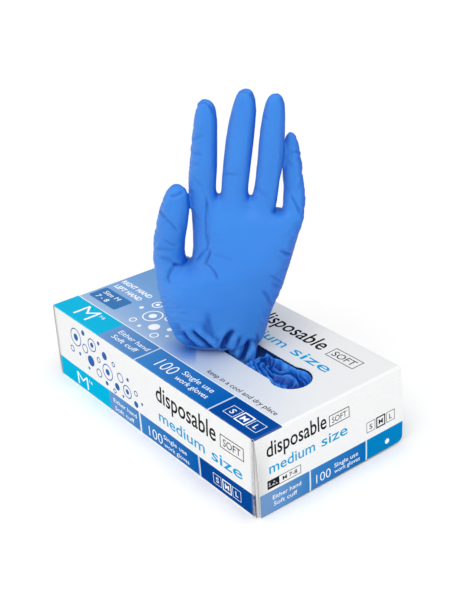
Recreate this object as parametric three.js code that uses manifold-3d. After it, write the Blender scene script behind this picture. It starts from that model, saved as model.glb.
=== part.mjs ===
// Dispenser carton of disposable nitrile gloves with one glove standing in its slot.
// Millimetres, +Z up. Origin: centre of the carton's underside. X runs along the carton, the right-hand end is +X,
// the printed front side faces -Y. The carton is one folded board: every panel and flap is its own solid, hinged on its crease.
import * as THREE from "three";
import Module from "manifold-3d";
import { mergeVertices } from "three/addons/utils/BufferGeometryUtils.js";

const wasm = await Module();
wasm.setup();

// ---------------------------------------------------------------- driving dimensions
const LENGTH = 240;            // carton, outside
const WIDTH = 128;
const HEIGHT = 60;
const BOARD = 0.6;             // board thickness
const GAP = 0.3;               // clearance between neighbouring boards
const LAYER = BOARD + GAP;     // one flap layer at an end

const SLOT_X0 = -16;           // dispensing slot in the top panel: two round ends joined by a narrower waist
const SLOT_X1 = 96;
const SLOT_END_R = 14.5;
const SLOT_WAIST = 12.0;       // half width of the waist

const OUTER_TAPER = 1.1;       // each side of an outer flap draws in by this towards its free edge
const OUTER_CORNER_R = 4;
const INNER_FLAP_H = 33;       // inner (bottom) flap, crease to free edge
const DUST_FLAP_W = 32;        // dust flap, crease to free edge
const DUST_TOP_DROP = 14.5;    // how far the dust flap's top edge falls across its width
const DUST_BOTTOM_RISE = 21;   // how far its bottom edge rises
const SEAM_FLAP_H = 15;        // glued seam flap inside the back side

const BUNDLES = 24;            // packed gloves lie in bundles of four
const BUNDLE_T = 1.55;
const BUNDLE_PITCH = BUNDLE_T + GAP;
const STACK_Z0 = BOARD + GAP;
const STACK_TOP = STACK_Z0 + BUNDLES * BUNDLE_PITCH - GAP;

const FILM = 0.6;              // glove film as modelled
const GLOVE_AZ = 50;           // direction the palm faces, degrees from -Y towards +X
const GLOVE_AT = [27, 3.5];    // where the palm's mid plane crosses the slot

// ---------------------------------------------------------------- materials
const mat = (hex, roughness, metalness = 0) => new THREE.MeshStandardMaterial({ color: hex, roughness, metalness });
const boardWhite = mat(0xf1f2f3, 0.45);
const boardPrint = mat(0x7ba6d8, 0.4);
const boardGrey = mat(0xc9c6be, 0.85);
const gloveBlue = mat(0x3c84e6, 0.5);
const gloveDeep = mat(0x1f5fce, 0.55);

const group = new THREE.Group();
const add = (name, geometry, material) => {
  const mesh = new THREE.Mesh(geometry, material);
  mesh.name = name;
  group.add(mesh);
  return mesh;
};

// ---------------------------------------------------------------- helpers
function fromMesh(positions, triangles) {
  const g = new THREE.BufferGeometry();
  g.setAttribute("position", new THREE.BufferAttribute(new Float32Array(positions.flat()), 3));
  g.setIndex(triangles.flat());
  return g;
}
function solid(geometry) {
  const g = geometry.clone();
  for (const a of Object.keys(g.attributes)) if (a !== "position") g.deleteAttribute(a);
  const m = mergeVertices(g, 1e-4);
  const s = new wasm.Manifold(new wasm.Mesh({
    numProp: 3, vertProperties: m.attributes.position.array, triVerts: new Uint32Array(m.index.array),
  }));
  return s;
}
function geometryOf(s) {
  const m = s.getMesh();
  const p = new Float32Array(m.numVert * 3);
  for (let i = 0; i < m.numVert; i++) for (let k = 0; k < 3; k++) p[3 * i + k] = m.vertProperties[m.numProp * i + k];
  const g = new THREE.BufferGeometry();
  g.setAttribute("position", new THREE.BufferAttribute(p, 3));
  g.setIndex(new THREE.BufferAttribute(new Uint32Array(m.triVerts), 1));
  return g;
}
// A flat plate from an outline in two of the three axes. toXYZ maps (a, b, depth) to a point.
function plate(outline, depth, toXYZ, holes = []) {
  const shape = new THREE.Shape(outline.map(([a, b]) => new THREE.Vector2(a, b)));
  for (const h of holes) shape.holes.push(new THREE.Path(h.map(([a, b]) => new THREE.Vector2(a, b))));
  const g = new THREE.ExtrudeGeometry(shape, { depth, bevelEnabled: false, curveSegments: 8 });
  const p = g.attributes.position;
  for (let i = 0; i < p.count; i++) p.setXYZ(i, ...toXYZ(p.getX(i), p.getY(i), p.getZ(i)));
  // a mapping that mirrors turns the faces round
  const e = [toXYZ(1, 0, 0), toXYZ(0, 1, 0), toXYZ(0, 0, 1), toXYZ(0, 0, 0)];
  const v = e.slice(0, 3).map((c) => new THREE.Vector3(c[0] - e[3][0], c[1] - e[3][1], c[2] - e[3][2]));
  if (v[0].dot(v[1].clone().cross(v[2])) < 0) {
    for (let i = 0; i < p.count; i += 3) {
      const a = [p.getX(i), p.getY(i), p.getZ(i)];
      p.setXYZ(i, p.getX(i + 1), p.getY(i + 1), p.getZ(i + 1));
      p.setXYZ(i + 1, ...a);
    }
  }
  return g;
}
const rect = (a0, b0, a1, b1) => [[a0, b0], [a1, b0], [a1, b1], [a0, b1]];
function arc(cx, cy, r, from, to, n) {
  const out = [];
  for (let i = 0; i <= n; i++) {
    const t = THREE.MathUtils.degToRad(from + ((to - from) * i) / n);
    out.push([cx + r * Math.cos(t), cy + r * Math.sin(t)]);
  }
  return out;
}
// Rings of points joined in order, closed by a fan at each end.
function loft(rings) {
  const n = rings[0].length;
  const pts = rings.flat();
  const tri = [];
  for (let r = 0; r + 1 < rings.length; r++)
    for (let i = 0; i < n; i++) {
      const a = r * n + i, b = r * n + ((i + 1) % n), c = a + n, d = b + n;
      tri.push([a, b, d], [a, d, c]);
    }
  for (const [ring, flip] of [[0, true], [rings.length - 1, false]]) {
    const c = pts.length;
    const m = [0, 0, 0];
    for (const q of rings[ring]) for (let k = 0; k < 3; k++) m[k] += q[k] / n;
    pts.push(m);
    for (let i = 0; i < n; i++) {
      const a = ring * n + i, b = ring * n + ((i + 1) % n);
      tri.push(flip ? [a, c, b] : [a, b, c]);
    }
  }
  let s = solid(fromMesh(pts, tri));
  if (s.volume() < 0) s = solid(fromMesh(pts, tri.map(([a, b, c]) => [a, c, b])));
  return s;
}
// A solid with a flat underside and a top given by a height function over a grid; spread narrows the grid along y.
function quilt(xs, ys, bottom, top, spread = () => 1) {
  const nx = xs.length - 1, ny = ys.length - 1, layerSize = xs.length * ys.length;
  const pts = [], tri = [];
  const at = (i, j, layer) => layer * layerSize + i * ys.length + j;
  for (const layer of [0, 1])
    for (const x of xs) for (const y of ys) pts.push([x, y * spread(x), layer ? top(x, y) : bottom]);
  for (let i = 0; i < nx; i++)
    for (let j = 0; j < ny; j++) {
      const q = [at(i, j, 1), at(i + 1, j, 1), at(i + 1, j + 1, 1), at(i, j + 1, 1)];
      tri.push([q[0], q[1], q[2]], [q[0], q[2], q[3]]);
      const w = [at(i, j, 0), at(i + 1, j, 0), at(i + 1, j + 1, 0), at(i, j + 1, 0)];
      tri.push([w[0], w[2], w[1]], [w[0], w[3], w[2]]);
    }
  const wall = (a, b) => {           // a, b: bottom-row indices, walked so that the wall faces out
    const a1 = a + layerSize, b1 = b + layerSize;
    tri.push([a, b, b1], [a, b1, a1]);
  };
  for (let i = 0; i < nx; i++) { wall(at(i, 0, 0), at(i + 1, 0, 0)); wall(at(i + 1, ny, 0), at(i, ny, 0)); }
  for (let j = 0; j < ny; j++) { wall(at(nx, j, 0), at(nx, j + 1, 0)); wall(at(0, j + 1, 0), at(0, j, 0)); }
  return geometryOf(solid(fromMesh(pts, tri)));
}
const steps = (from, to, n) => Array.from({ length: n + 1 }, (_, i) => from + ((to - from) * i) / n);

// ---------------------------------------------------------------- carton sleeve
const hx = LENGTH / 2, hy = WIDTH / 2;
const topX = hx - LAYER;                 // the outer flap covers the top panel's ends
const bottomX = hx - 2 * LAYER;          // the inner flap covers the bottom panel's ends
const sideX = hx - 3 * LAYER;            // the dust flaps cover the side panels' ends

const slotOutline = (() => {
  const r = SLOT_END_R, w = SLOT_WAIST;
  const a = THREE.MathUtils.radToDeg(Math.asin(w / r));
  const right = arc(SLOT_X1 - r, 0, r, -(180 - a), 180 - a, 22);
  const left = arc(SLOT_X0 + r, 0, r, a, 360 - a, 22);
  return [...right, ...left];
})();

add("top_panel", plate(rect(-topX, -hy, topX, hy), BOARD, (a, b, d) => [a, b, HEIGHT - BOARD + d], [slotOutline]), boardPrint);
add("front_side_panel", plate(rect(-sideX, LAYER, sideX, HEIGHT - LAYER), BOARD, (a, b, d) => [a, -hy + d, b]), boardWhite);
add("back_side_panel", plate(rect(-sideX, LAYER, sideX, HEIGHT - LAYER), BOARD, (a, b, d) => [a, hy - BOARD + d, b]), boardWhite);
add("bottom_panel", plate(rect(-bottomX, -hy, bottomX, hy), BOARD, (a, b, d) => [a, b, d]), boardWhite);
{
  const x = sideX - 5, z0 = LAYER, z1 = LAYER + SEAM_FLAP_H;
  add("glued_seam_flap", plate([[-x, z0], [x, z0], [x - 8, z1], [-x + 8, z1]], BOARD,
    (a, b, d) => [a, hy - LAYER - BOARD + d, b]), boardGrey);
}

// ---------------------------------------------------------------- end flaps, the same at both ends
for (const [side, s] of [["right", 1], ["left", -1]]) {
  // outer flap, creased along the top panel's end
  const yT = hy - GAP, yB = hy - GAP - OUTER_TAPER, r = OUTER_CORNER_R, z0 = GAP, z1 = HEIGHT - GAP;
  const outer = [
    [-yT, z1], ...arc(-yB + r, z0 + r, r, 180, 270, 4), ...arc(yB - r, z0 + r, r, 270, 360, 4), [yT, z1],
  ];
  add(`${side}_end_outer_flap`, plate(outer, BOARD, (a, b, d) => [s * (hx - BOARD + d), a, b]), boardWhite);
  // inner flap, creased along the bottom panel's end
  const yi = hy - GAP, iz = GAP, it = GAP + INNER_FLAP_H, c = 6;
  const inner = [[-yi, iz], [yi, iz], [yi - 1.5, it - c], [yi - 1.5 - c, it], [-yi + 1.5 + c, it], [-yi + 1.5, it - c]];
  add(`${side}_end_inner_flap`, plate(inner, BOARD, (a, b, d) => [s * (hx - LAYER - BOARD + d), a, b]), boardGrey);
  // dust flaps, creased along the side panels' ends
  for (const [which, t] of [["front", -1], ["back", 1]]) {
    const y0 = hy - GAP, y1 = hy - DUST_FLAP_W;
    const zb = LAYER + GAP, zt = HEIGHT - LAYER - GAP;
    const dust = [[t * y0, zb + 1.0], [t * y0, zt - 1.0], [t * y1, zt - DUST_TOP_DROP], [t * y1, zb + DUST_BOTTOM_RISE]];
    add(`${side}_end_${which}_dust_flap`, plate(dust, BOARD, (a, b, d) => [s * (hx - 2 * LAYER - BOARD + d), a, b]), boardGrey);
  }
}

// ---------------------------------------------------------------- packed gloves
// Flat ambidextrous glove: cuff at -x, four fingers at +x, thumb folded across the palm.
function flatGlove() {
  const out = [[-112, -47], [-60, -45.5], [-20, -48.5], [36, -48.5]];
  const fingers = [[-37, 88, 10.2], [-12.5, 107, 11], [12.5, 112, 11], [37, 101, 10.6]];
  fingers.forEach(([y, tip, r], i) => {
    out.push([62, y - r], [tip - 6, y - r + 1.2], [tip, y - 3.2], [tip, y + 3.2], [tip - 6, y + r - 1.2]);
    if (i < 3) out.push([50, y + 12.3]);
  });
  out.push([44, 48.5], [-20, 48.5], [-60, 45.5], [-112, 47]);
  return out;
}
for (let i = 0; i < BUNDLES; i++) {
  const z = STACK_Z0 + i * BUNDLE_PITCH;
  const flip = i % 2 ? -1 : 1;                        // bundles are laid head to tail
  const turn = THREE.MathUtils.degToRad(0.9 * Math.sin(i * 2.4));
  const dx = 1.4 * Math.sin(i * 1.7), dy = 2.6 * Math.sin(i * 2.9 + 1);
  const outline = flatGlove().map(([a, b]) => {
    const x = a * flip, y = b * flip;
    return [x * Math.cos(turn) - y * Math.sin(turn) + dx, x * Math.sin(turn) + y * Math.cos(turn) + dy];
  });
  add(`packed_gloves_${String(i + 1).padStart(2, "0")}`, plate(outline, BUNDLE_T, (a, b, d) => [a, b, z + d]), i % 3 ? gloveBlue : gloveDeep);
}

// The top glove of the stack fills the space up to the top panel and dips under the slot.
const smooth = (a, b, x) => { const t = Math.min(1, Math.max(0, (x - a) / (b - a))); return t * t * (3 - 2 * t); };
const DIP = 47.9;
const stackX = [-111, -104, ...steps(-94, -24, 7), -20, -16, -8, ...steps(4, 88, 7), 96, 100, 104, 111];
const stackY = [-54, -48, -38, -28, -21, -16.5, -12.5, -4, 4, 12.5, 16.5, 21, 28, 38, 48, 54];
add("stack_top_glove", quilt(stackX, stackY, STACK_TOP + GAP, (x, y) => {
  const out = Math.max(smooth(12.5, 22, Math.abs(y)), smooth(0, 8, SLOT_X0 - x), smooth(0, 8, x - SLOT_X1));
  const edge = Math.min(1, (111 - Math.abs(x)) / 12, (54 - Math.abs(y)) / 10);
  const bumps = 0.7 * Math.sin(x * 0.13 + y * 0.21) + 0.5 * Math.sin(y * 0.33 - x * 0.07);
  return DIP + out * (0.35 + 0.65 * Math.max(0, edge)) * (8.2 + bumps);
}), gloveBlue);

// The next glove, crumpled in the slot to the right of the standing one. Its outline follows the slot's round end.
const NEXT = { x0: 47, x1: 94, y: 10.8, z0: 48.6 };
const slotEnd = (x) => Math.min(NEXT.y, Math.sqrt(Math.max(1, (SLOT_END_R - 1) ** 2 - Math.max(0, x - (SLOT_X1 - SLOT_END_R)) ** 2))) / NEXT.y;
add("next_glove", quilt([...steps(NEXT.x0, 80, 11), 84, 87.5, 90.5, 92.6, NEXT.x1], steps(-NEXT.y, NEXT.y, 8), NEXT.z0, (x, y) => {
  const u = (x - NEXT.x0) / (NEXT.x1 - NEXT.x0), v = y / NEXT.y;
  const round = Math.pow(Math.max(0, 1 - Math.pow(2 * u - 1, 8)), 0.5) * Math.pow(Math.max(0, 1 - Math.pow(v, 6)), 0.5);
  const folds = 1.5 * Math.sin(u * 9 + v * 2.2) + 0.9 * Math.sin(v * 5 - u * 4);
  return NEXT.z0 + 2.5 + round * (5.6 + 0.7 * folds);
}, slotEnd), gloveBlue);

// A further glove, bunched at the slot's left end.
const THIRD = { x0: -13, x1: 4, y: 9.8, z0: 48.6 };
add("third_glove", quilt(steps(THIRD.x0, THIRD.x1, 6), steps(-THIRD.y, THIRD.y, 7), THIRD.z0, (x, y) => {
  const u = (x - THIRD.x0) / (THIRD.x1 - THIRD.x0), v = y / THIRD.y;
  return THIRD.z0 + 2 + (1 - Math.pow(2 * u - 1, 4)) * (1 - Math.pow(v, 4)) * (4.2 + 0.8 * Math.sin(v * 5 + u * 3));
}), gloveBlue);

// ---------------------------------------------------------------- standing glove, a hollow film open at its cuff
const az = THREE.MathUtils.degToRad(GLOVE_AZ);
const U = [Math.cos(az), Math.sin(az), 0];            // across the palm, to the viewer's right
const N = [Math.sin(az), -Math.cos(az), 0];           // out of the palm
const place = (u, z, n = 0) => [GLOVE_AT[0] + U[0] * u + N[0] * n, GLOVE_AT[1] + U[1] * u + N[1] * n, z];

// centre u, z and radius down each digit, tip first
const DIGITS = {
  index: [[-16.6, 236.2, 2.6], [-17.1, 234.4, 4.6], [-16.9, 230.6, 6.3], [-17.4, 224, 7.5], [-18.4, 216, 8.1], [-19.4, 206, 8.6], [-20.6, 194, 9.2], [-21.4, 182, 9.5], [-20.6, 168, 10.2], [-18, 150, 8]],
  middle: [[8.2, 242.2, 2.6], [8.2, 240.4, 4.6], [8.0, 236.6, 6.4], [7.0, 230.5, 7.8], [5.2, 220, 8.7], [3.4, 209, 9.2], [1.2, 196, 9.2], [-0.6, 183, 9.6], [-1.5, 170, 10.8], [-1, 150, 8]],
  ring: [[26.4, 238.4, 2.6], [26.5, 236.6, 4.6], [26.3, 232.8, 6.3], [25.4, 226, 7.4], [24.2, 216, 8.2], [23, 204, 8.7], [21.8, 192, 9.2], [20.4, 180, 9.8], [18.4, 167, 10.6], [14, 148, 8]],
  little: [[36.7, 214, 1.8], [36.4, 211.2, 3.3], [36.2, 206.4, 4.6], [36.7, 200, 5.6], [37.2, 192, 6.4], [37.3, 182, 7.3], [36.7, 172, 8.0], [35.4, 162, 8.7], [32, 148, 9]],
  thumb: [[-37.8, 181, 3.0], [-38.0, 179, 5.2], [-39.0, 174.6, 7.8], [-40.4, 166.5, 9.8], [-42, 156, 10.8], [-44.2, 145, 10.7], [-45.8, 133, 10.9], [-44.6, 120, 13], [-37, 104, 15]],
};
// left edge (u, z), right edge (u, z) and half thickness of the palm, lowest first
const PALM = [
  [-33, 61.4, 4, 61.2, 6.5], [-41, 64.2, 13, 64, 11.5], [-46.6, 70.4, 17.5, 70, 15.5], [-50.2, 79.5, 20, 80, 18.5],
  [-53.3, 91, 23.2, 92, 20.5], [-55.6, 103, 27, 103.5, 21.5], [-56.4, 113, 31, 115, 21.5], [-50, 121, 33.6, 123, 21],
  [-38, 126.5, 35.6, 132, 20], [-31.8, 134, 38.5, 142, 18.4], [-30, 147, 41.4, 151, 16], [-30.2, 160, 43.4, 158, 13],
  [-29.6, 170, 42, 160.5, 10.5],
];
// neck through the slot: x, y, z, half size along its long side and across, direction of its long side
const NECK = [
  [25, 0, 49.0, 16.0, 7.4, 0], [25, 0, 54, 16.6, 8.4, 0], [24.6, 0.3, 60, 17.0, 9.2, 2], [24, 0.8, 63.5, 17.2, 10, 12],
  [22.5, 0.5, 69, 19.5, 12.2, 32], [21, -1, 76, 23, 15, 50], [20, -3, 84, 24, 15, 50],
];
function gloveSolid(inset) {
  const parts = [];
  for (const key of Object.keys(DIGITS)) {
    const d = DIGITS[key], segs = 14, rings = [];
    for (let i = 0; i < d.length; i++) {
      const a = d[Math.max(0, i - 1)], b = d[Math.min(d.length - 1, i + 1)];
      const t = [b[0] - a[0], b[1] - a[1]], l = Math.hypot(...t);
      const side = [-t[1] / l, t[0] / l];
      const r = d[i][2] - inset, drop = i === 0 ? inset : 0;
      const ring = [];
      for (let k = 0; k < segs; k++) {
        const f = (2 * Math.PI * k) / segs;
        ring.push(place(d[i][0] + side[0] * r * Math.cos(f), d[i][1] - drop + side[1] * r * Math.cos(f), 0.94 * r * Math.sin(f)));
      }
      rings.push(ring);
    }
    parts.push(loft(rings));
  }
  const palm = PALM.map(([ul, zl, ur, zr, h], i) => {
    const segs = 26, ring = [], lift = i === 0 ? inset : 0;
    const mid = [(ul + ur) / 2, (zl + zr) / 2 + lift], half = [(ur - ul) / 2 - inset, (zr - zl) / 2];
    for (let k = 0; k < segs; k++) {
      const f = (2 * Math.PI * k) / segs, c = Math.cos(f), s = Math.sin(f);
      const e = 0.86;                                   // a little squarer than an ellipse
      ring.push(place(mid[0] + half[0] * Math.sign(c) * Math.pow(Math.abs(c), e), mid[1] + half[1] * c, (h - inset) * Math.sign(s) * Math.pow(Math.abs(s), e)));
    }
    return ring;
  });
  parts.push(loft(palm));
  const neck = NECK.map(([x, y, z, a, b, dir], i) => {
    const segs = 20, ring = [], w = THREE.MathUtils.degToRad(dir);
    for (let k = 0; k < segs; k++) {
      const f = (2 * Math.PI * k) / segs;
      const p = (a - inset) * Math.cos(f), q = (b - inset) * Math.sin(f);
      ring.push([x + p * Math.cos(w) - q * Math.sin(w), y + p * Math.sin(w) + q * Math.cos(w), i === 0 && inset ? z - 2 : z]);
    }
    return ring;
  });
  parts.push(loft(neck));
  return parts.reduce((a, b) => a.add(b));
}
add("standing_glove", geometryOf(gloveSolid(0).subtract(gloveSolid(FILM))), gloveBlue);

export default group;
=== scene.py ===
# A dispenser carton of disposable gloves lying on its base, with one glove standing in its slot.
# x runs along the carton, y across it and z up; the base is at z = 0 and the middle at x = y = 0.
# Right is +x, left is -x, front is -y and back is +y.
# Lengths are millimetres unless a comment says metres; MM turns them into metres.
import math
from functools import partial

import bmesh
import bpy
import numpy as np
from mathutils import Matrix, Vector, noise
from mathutils.bvhtree import BVHTree
from mathutils.geometry import delaunay_2d_cdt


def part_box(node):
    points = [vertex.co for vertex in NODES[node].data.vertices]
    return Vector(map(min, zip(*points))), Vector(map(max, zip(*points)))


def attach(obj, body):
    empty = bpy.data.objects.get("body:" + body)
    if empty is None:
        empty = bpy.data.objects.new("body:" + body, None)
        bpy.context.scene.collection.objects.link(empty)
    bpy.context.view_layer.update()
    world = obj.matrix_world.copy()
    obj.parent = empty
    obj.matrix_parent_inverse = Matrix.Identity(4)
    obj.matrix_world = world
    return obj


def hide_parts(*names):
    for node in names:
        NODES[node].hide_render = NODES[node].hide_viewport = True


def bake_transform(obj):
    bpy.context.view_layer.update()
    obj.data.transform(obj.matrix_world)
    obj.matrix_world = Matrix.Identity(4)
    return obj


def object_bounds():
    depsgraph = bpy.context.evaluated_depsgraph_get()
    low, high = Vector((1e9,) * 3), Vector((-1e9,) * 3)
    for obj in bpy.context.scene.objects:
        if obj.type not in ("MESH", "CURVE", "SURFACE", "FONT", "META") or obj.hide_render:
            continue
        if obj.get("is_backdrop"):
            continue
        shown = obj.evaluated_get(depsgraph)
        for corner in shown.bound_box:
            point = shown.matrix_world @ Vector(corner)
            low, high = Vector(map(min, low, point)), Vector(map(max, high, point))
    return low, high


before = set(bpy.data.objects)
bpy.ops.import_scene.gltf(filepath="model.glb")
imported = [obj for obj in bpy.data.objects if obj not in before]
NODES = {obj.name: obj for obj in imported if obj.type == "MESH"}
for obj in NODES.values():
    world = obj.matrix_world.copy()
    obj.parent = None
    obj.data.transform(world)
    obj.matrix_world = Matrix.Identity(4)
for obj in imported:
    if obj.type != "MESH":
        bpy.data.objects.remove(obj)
cad_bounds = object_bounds()
MM = 0.001


def edge(node, which, axis):
    """The low (0) or high (1) side of a CAD piece's box along an axis."""
    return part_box(node)[which][axis] * 1000.0


HALF_X = edge("right_end_outer_flap", 1, 0)
HALF_Y = edge("top_panel", 1, 1)
HEIGHT = edge("top_panel", 1, 2)
INNER_FLAP_X = edge("right_end_inner_flap", 1, 0)
DUST_FLAP_X = edge("right_end_front_dust_flap", 1, 0)
OUTER_FLAP_Z0 = edge("right_end_outer_flap", 0, 2)
BOARD = 0.5
CREASE_R = 1.0
FLAP_CREASE_R = 0.8                     # of the inner and dust flaps

# where the sleeve's own board ends under each flap's crease
TOP_END_X = HALF_X - 1.8
SIDE_END_X = DUST_FLAP_X - 1.2
BASE_END_X = INNER_FLAP_X - 1.2

scene = bpy.context.scene
scene.view_settings.view_transform = "Standard"
scene.view_settings.look = "None"


# ------------------------------------------------------------------ general tools
def srgb(hexcode):
    out = []
    for k in (0, 2, 4):
        c = int(hexcode[k:k + 2], 16) / 255.0
        out.append(c / 12.92 if c <= 0.04045 else ((c + 0.055) / 1.055) ** 2.4)
    return (*out, 1.0)


def ease(start, end, x):
    """Smooth step from 0 at start to 1 at end."""
    t = np.clip((np.asarray(x, float) - start) / (end - start), 0, 1)
    return t * t * (3 - 2 * t)


def noise_at(points, scale, seed):
    """Gradient noise in about -1..1 at each point; scale is per millimetre."""
    out = np.empty(len(points))
    shift = Vector((seed * 17.31, seed * 5.77, seed * 11.13))
    for i, p in enumerate(points):
        out[i] = noise.noise(Vector((p[0] * scale, p[1] * scale, p[2] * scale)) + shift)
    return out


def assign(target, **values):
    for key, value in values.items():
        setattr(target, key, value)


def new_object(name, mesh):
    obj = bpy.data.objects.new(name, mesh)
    scene.collection.objects.link(obj)
    return obj


def modify(obj, kind, **settings):
    modifier = obj.modifiers.new(kind.lower(), kind)
    assign(modifier, **settings)
    return modifier


def apply_modifiers(obj):
    graph = bpy.context.evaluated_depsgraph_get()
    mesh = bpy.data.meshes.new_from_object(obj.evaluated_get(graph))
    obj.modifiers.clear()
    obj.data = mesh


def point_attribute(mesh, name, kind, values):
    key = "vector" if kind == "FLOAT_VECTOR" else "value"
    data = mesh.attributes.new(name, kind, "POINT").data
    data.foreach_set(key, np.asarray(values, np.float32).ravel())


def dress(obj, material, sharp_deg=None):
    mesh = obj.data
    mesh.materials.clear()
    mesh.materials.append(material)
    mesh.polygons.foreach_set("use_smooth", [True] * len(mesh.polygons))
    if sharp_deg is not None:
        mesh.set_sharp_from_angle(angle=math.radians(sharp_deg))


def coords(mesh):
    out = np.empty(len(mesh.vertices) * 3)
    mesh.vertices.foreach_get("co", out)
    return out.reshape(-1, 3) * 1000.0


def set_coords(mesh, points):
    mesh.vertices.foreach_set("co", (points * MM).ravel())
    mesh.update()


def normals_of(mesh):
    out = np.empty(len(mesh.vertices) * 3)
    mesh.vertices.foreach_get("normal", out)
    return out.reshape(-1, 3)


def recalc_normals(mesh):
    work = bmesh.new()
    work.from_mesh(mesh)
    bmesh.ops.recalc_face_normals(work, faces=work.faces)
    work.to_mesh(mesh)
    work.free()


def mesh_object(name, verts, faces, materials, face_material=None, smooth=True, rest=None):
    mesh = bpy.data.meshes.new(name)
    mesh.from_pydata((np.asarray(verts, float) * MM).tolist(), [],
                     [list(map(int, face)) for face in faces])
    for material in materials:
        mesh.materials.append(material)
    if face_material is not None:
        mesh.polygons.foreach_set("material_index", np.asarray(face_material, np.int32))
    mesh.polygons.foreach_set("use_smooth", [smooth] * len(mesh.polygons))
    rest = np.asarray(verts if rest is None else rest, float)
    point_attribute(mesh, "rest", "FLOAT_VECTOR", rest * MM)
    mesh.update()
    return new_object(name, mesh)


# ------------------------------------------------------------------ flat outlines
def inside(points, loop):
    x, y = points[:, 0], points[:, 1]
    odd = np.zeros(len(points), bool)
    for i in range(len(loop)):
        x0, y0 = loop[i]
        x1, y1 = loop[(i + 1) % len(loop)]
        if y0 != y1:
            odd ^= ((y0 > y) != (y1 > y)) & (x < (x1 - x0) * (y - y0) / (y1 - y0) + x0)
    return odd


def distance_to_loop(points, loop):
    best = np.full(len(points), 1e9)
    for i in range(len(loop)):
        start = np.asarray(loop[i], float)
        d = np.asarray(loop[(i + 1) % len(loop)], float) - start
        t = np.clip(((points - start) @ d) / max(d @ d, 1e-12), 0, 1)
        q = points - (start + t[:, None] * d)
        best = np.minimum(best, np.hypot(q[:, 0], q[:, 1]))
    return best


def triangulate(outline, holes, grid, keep_off=0.8):
    """Points and triangles of an outline with holes, with the grid points that fall inside it."""
    points, edges, loops = [], [], []
    for loop in [outline, *holes]:
        k, n = len(points), len(loop)
        points += [tuple(p) for p in loop]
        edges += [(k + i, k + (i + 1) % n) for i in range(n)]
        loops.append(np.array(loop, float))

    def within(q):
        ok = inside(q, loops[0])
        for hole in loops[1:]:
            ok &= ~inside(q, hole)
        return ok

    grid = np.asarray(grid, float)
    if len(grid):
        ok = within(grid)
        for loop in loops:
            ok &= distance_to_loop(grid, loop) > keep_off
        points += [tuple(p) for p in grid[ok]]
    out = delaunay_2d_cdt([Vector(p) for p in points], edges, [], 0, 1e-6)
    points = np.array([tuple(v) for v in out[0]])
    tris = np.array(out[2])
    return points, tris[within(points[tris].mean(axis=1))]


def sheet(name, outer, normals, tris, materials):
    """A closed board from its outer surface. Materials: outer faces, inner faces, cut edges."""
    outer, normals, tris = np.asarray(outer, float), np.asarray(normals, float), np.asarray(tris)
    a, b, c = outer[tris[:, 0]], outer[tris[:, 1]], outer[tris[:, 2]]
    flip = (np.cross(b - a, c - a) * normals[tris[:, 0]]).sum(1) < 0
    tris = np.where(flip[:, None], tris[:, ::-1], tris)
    n = len(outer)
    verts = np.vstack([outer, outer - normals * BOARD])
    faces = tris.tolist() + (tris[:, ::-1] + n).tolist()
    slots = [0] * len(tris) + [1] * len(tris)
    sides = {(t[i], t[(i + 1) % 3]): True for t in tris for i in range(3)}
    for i, j in sides:
        if (j, i) not in sides:
            faces.append([j, i, i + n, j + n])
            slots.append(2)
    rest = np.vstack([outer, outer])
    obj = mesh_object(name, verts, faces, materials, face_material=slots, rest=rest)
    obj.data.set_sharp_from_angle(angle=math.radians(40))
    return obj


# ------------------------------------------------------------------ shader building
class Value:
    """A shader output; arithmetic on it makes math nodes."""
    __array_ufunc__ = None              # numpy numbers leave the arithmetic to this class

    def __init__(self, shader, socket):
        self.shader = shader
        self.socket = socket

    def __add__(self, other):
        return self.shader.math("ADD", self, other)

    def __sub__(self, other):
        return self.shader.math("SUBTRACT", self, other)

    def __rsub__(self, other):
        return self.shader.math("SUBTRACT", other, self)

    def __mul__(self, other):
        return self.shader.math("MULTIPLY", self, other)

    def __pow__(self, other):
        return self.shader.math("POWER", self, other)

    def __abs__(self):
        return self.shader.math("ABSOLUTE", self)


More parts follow.
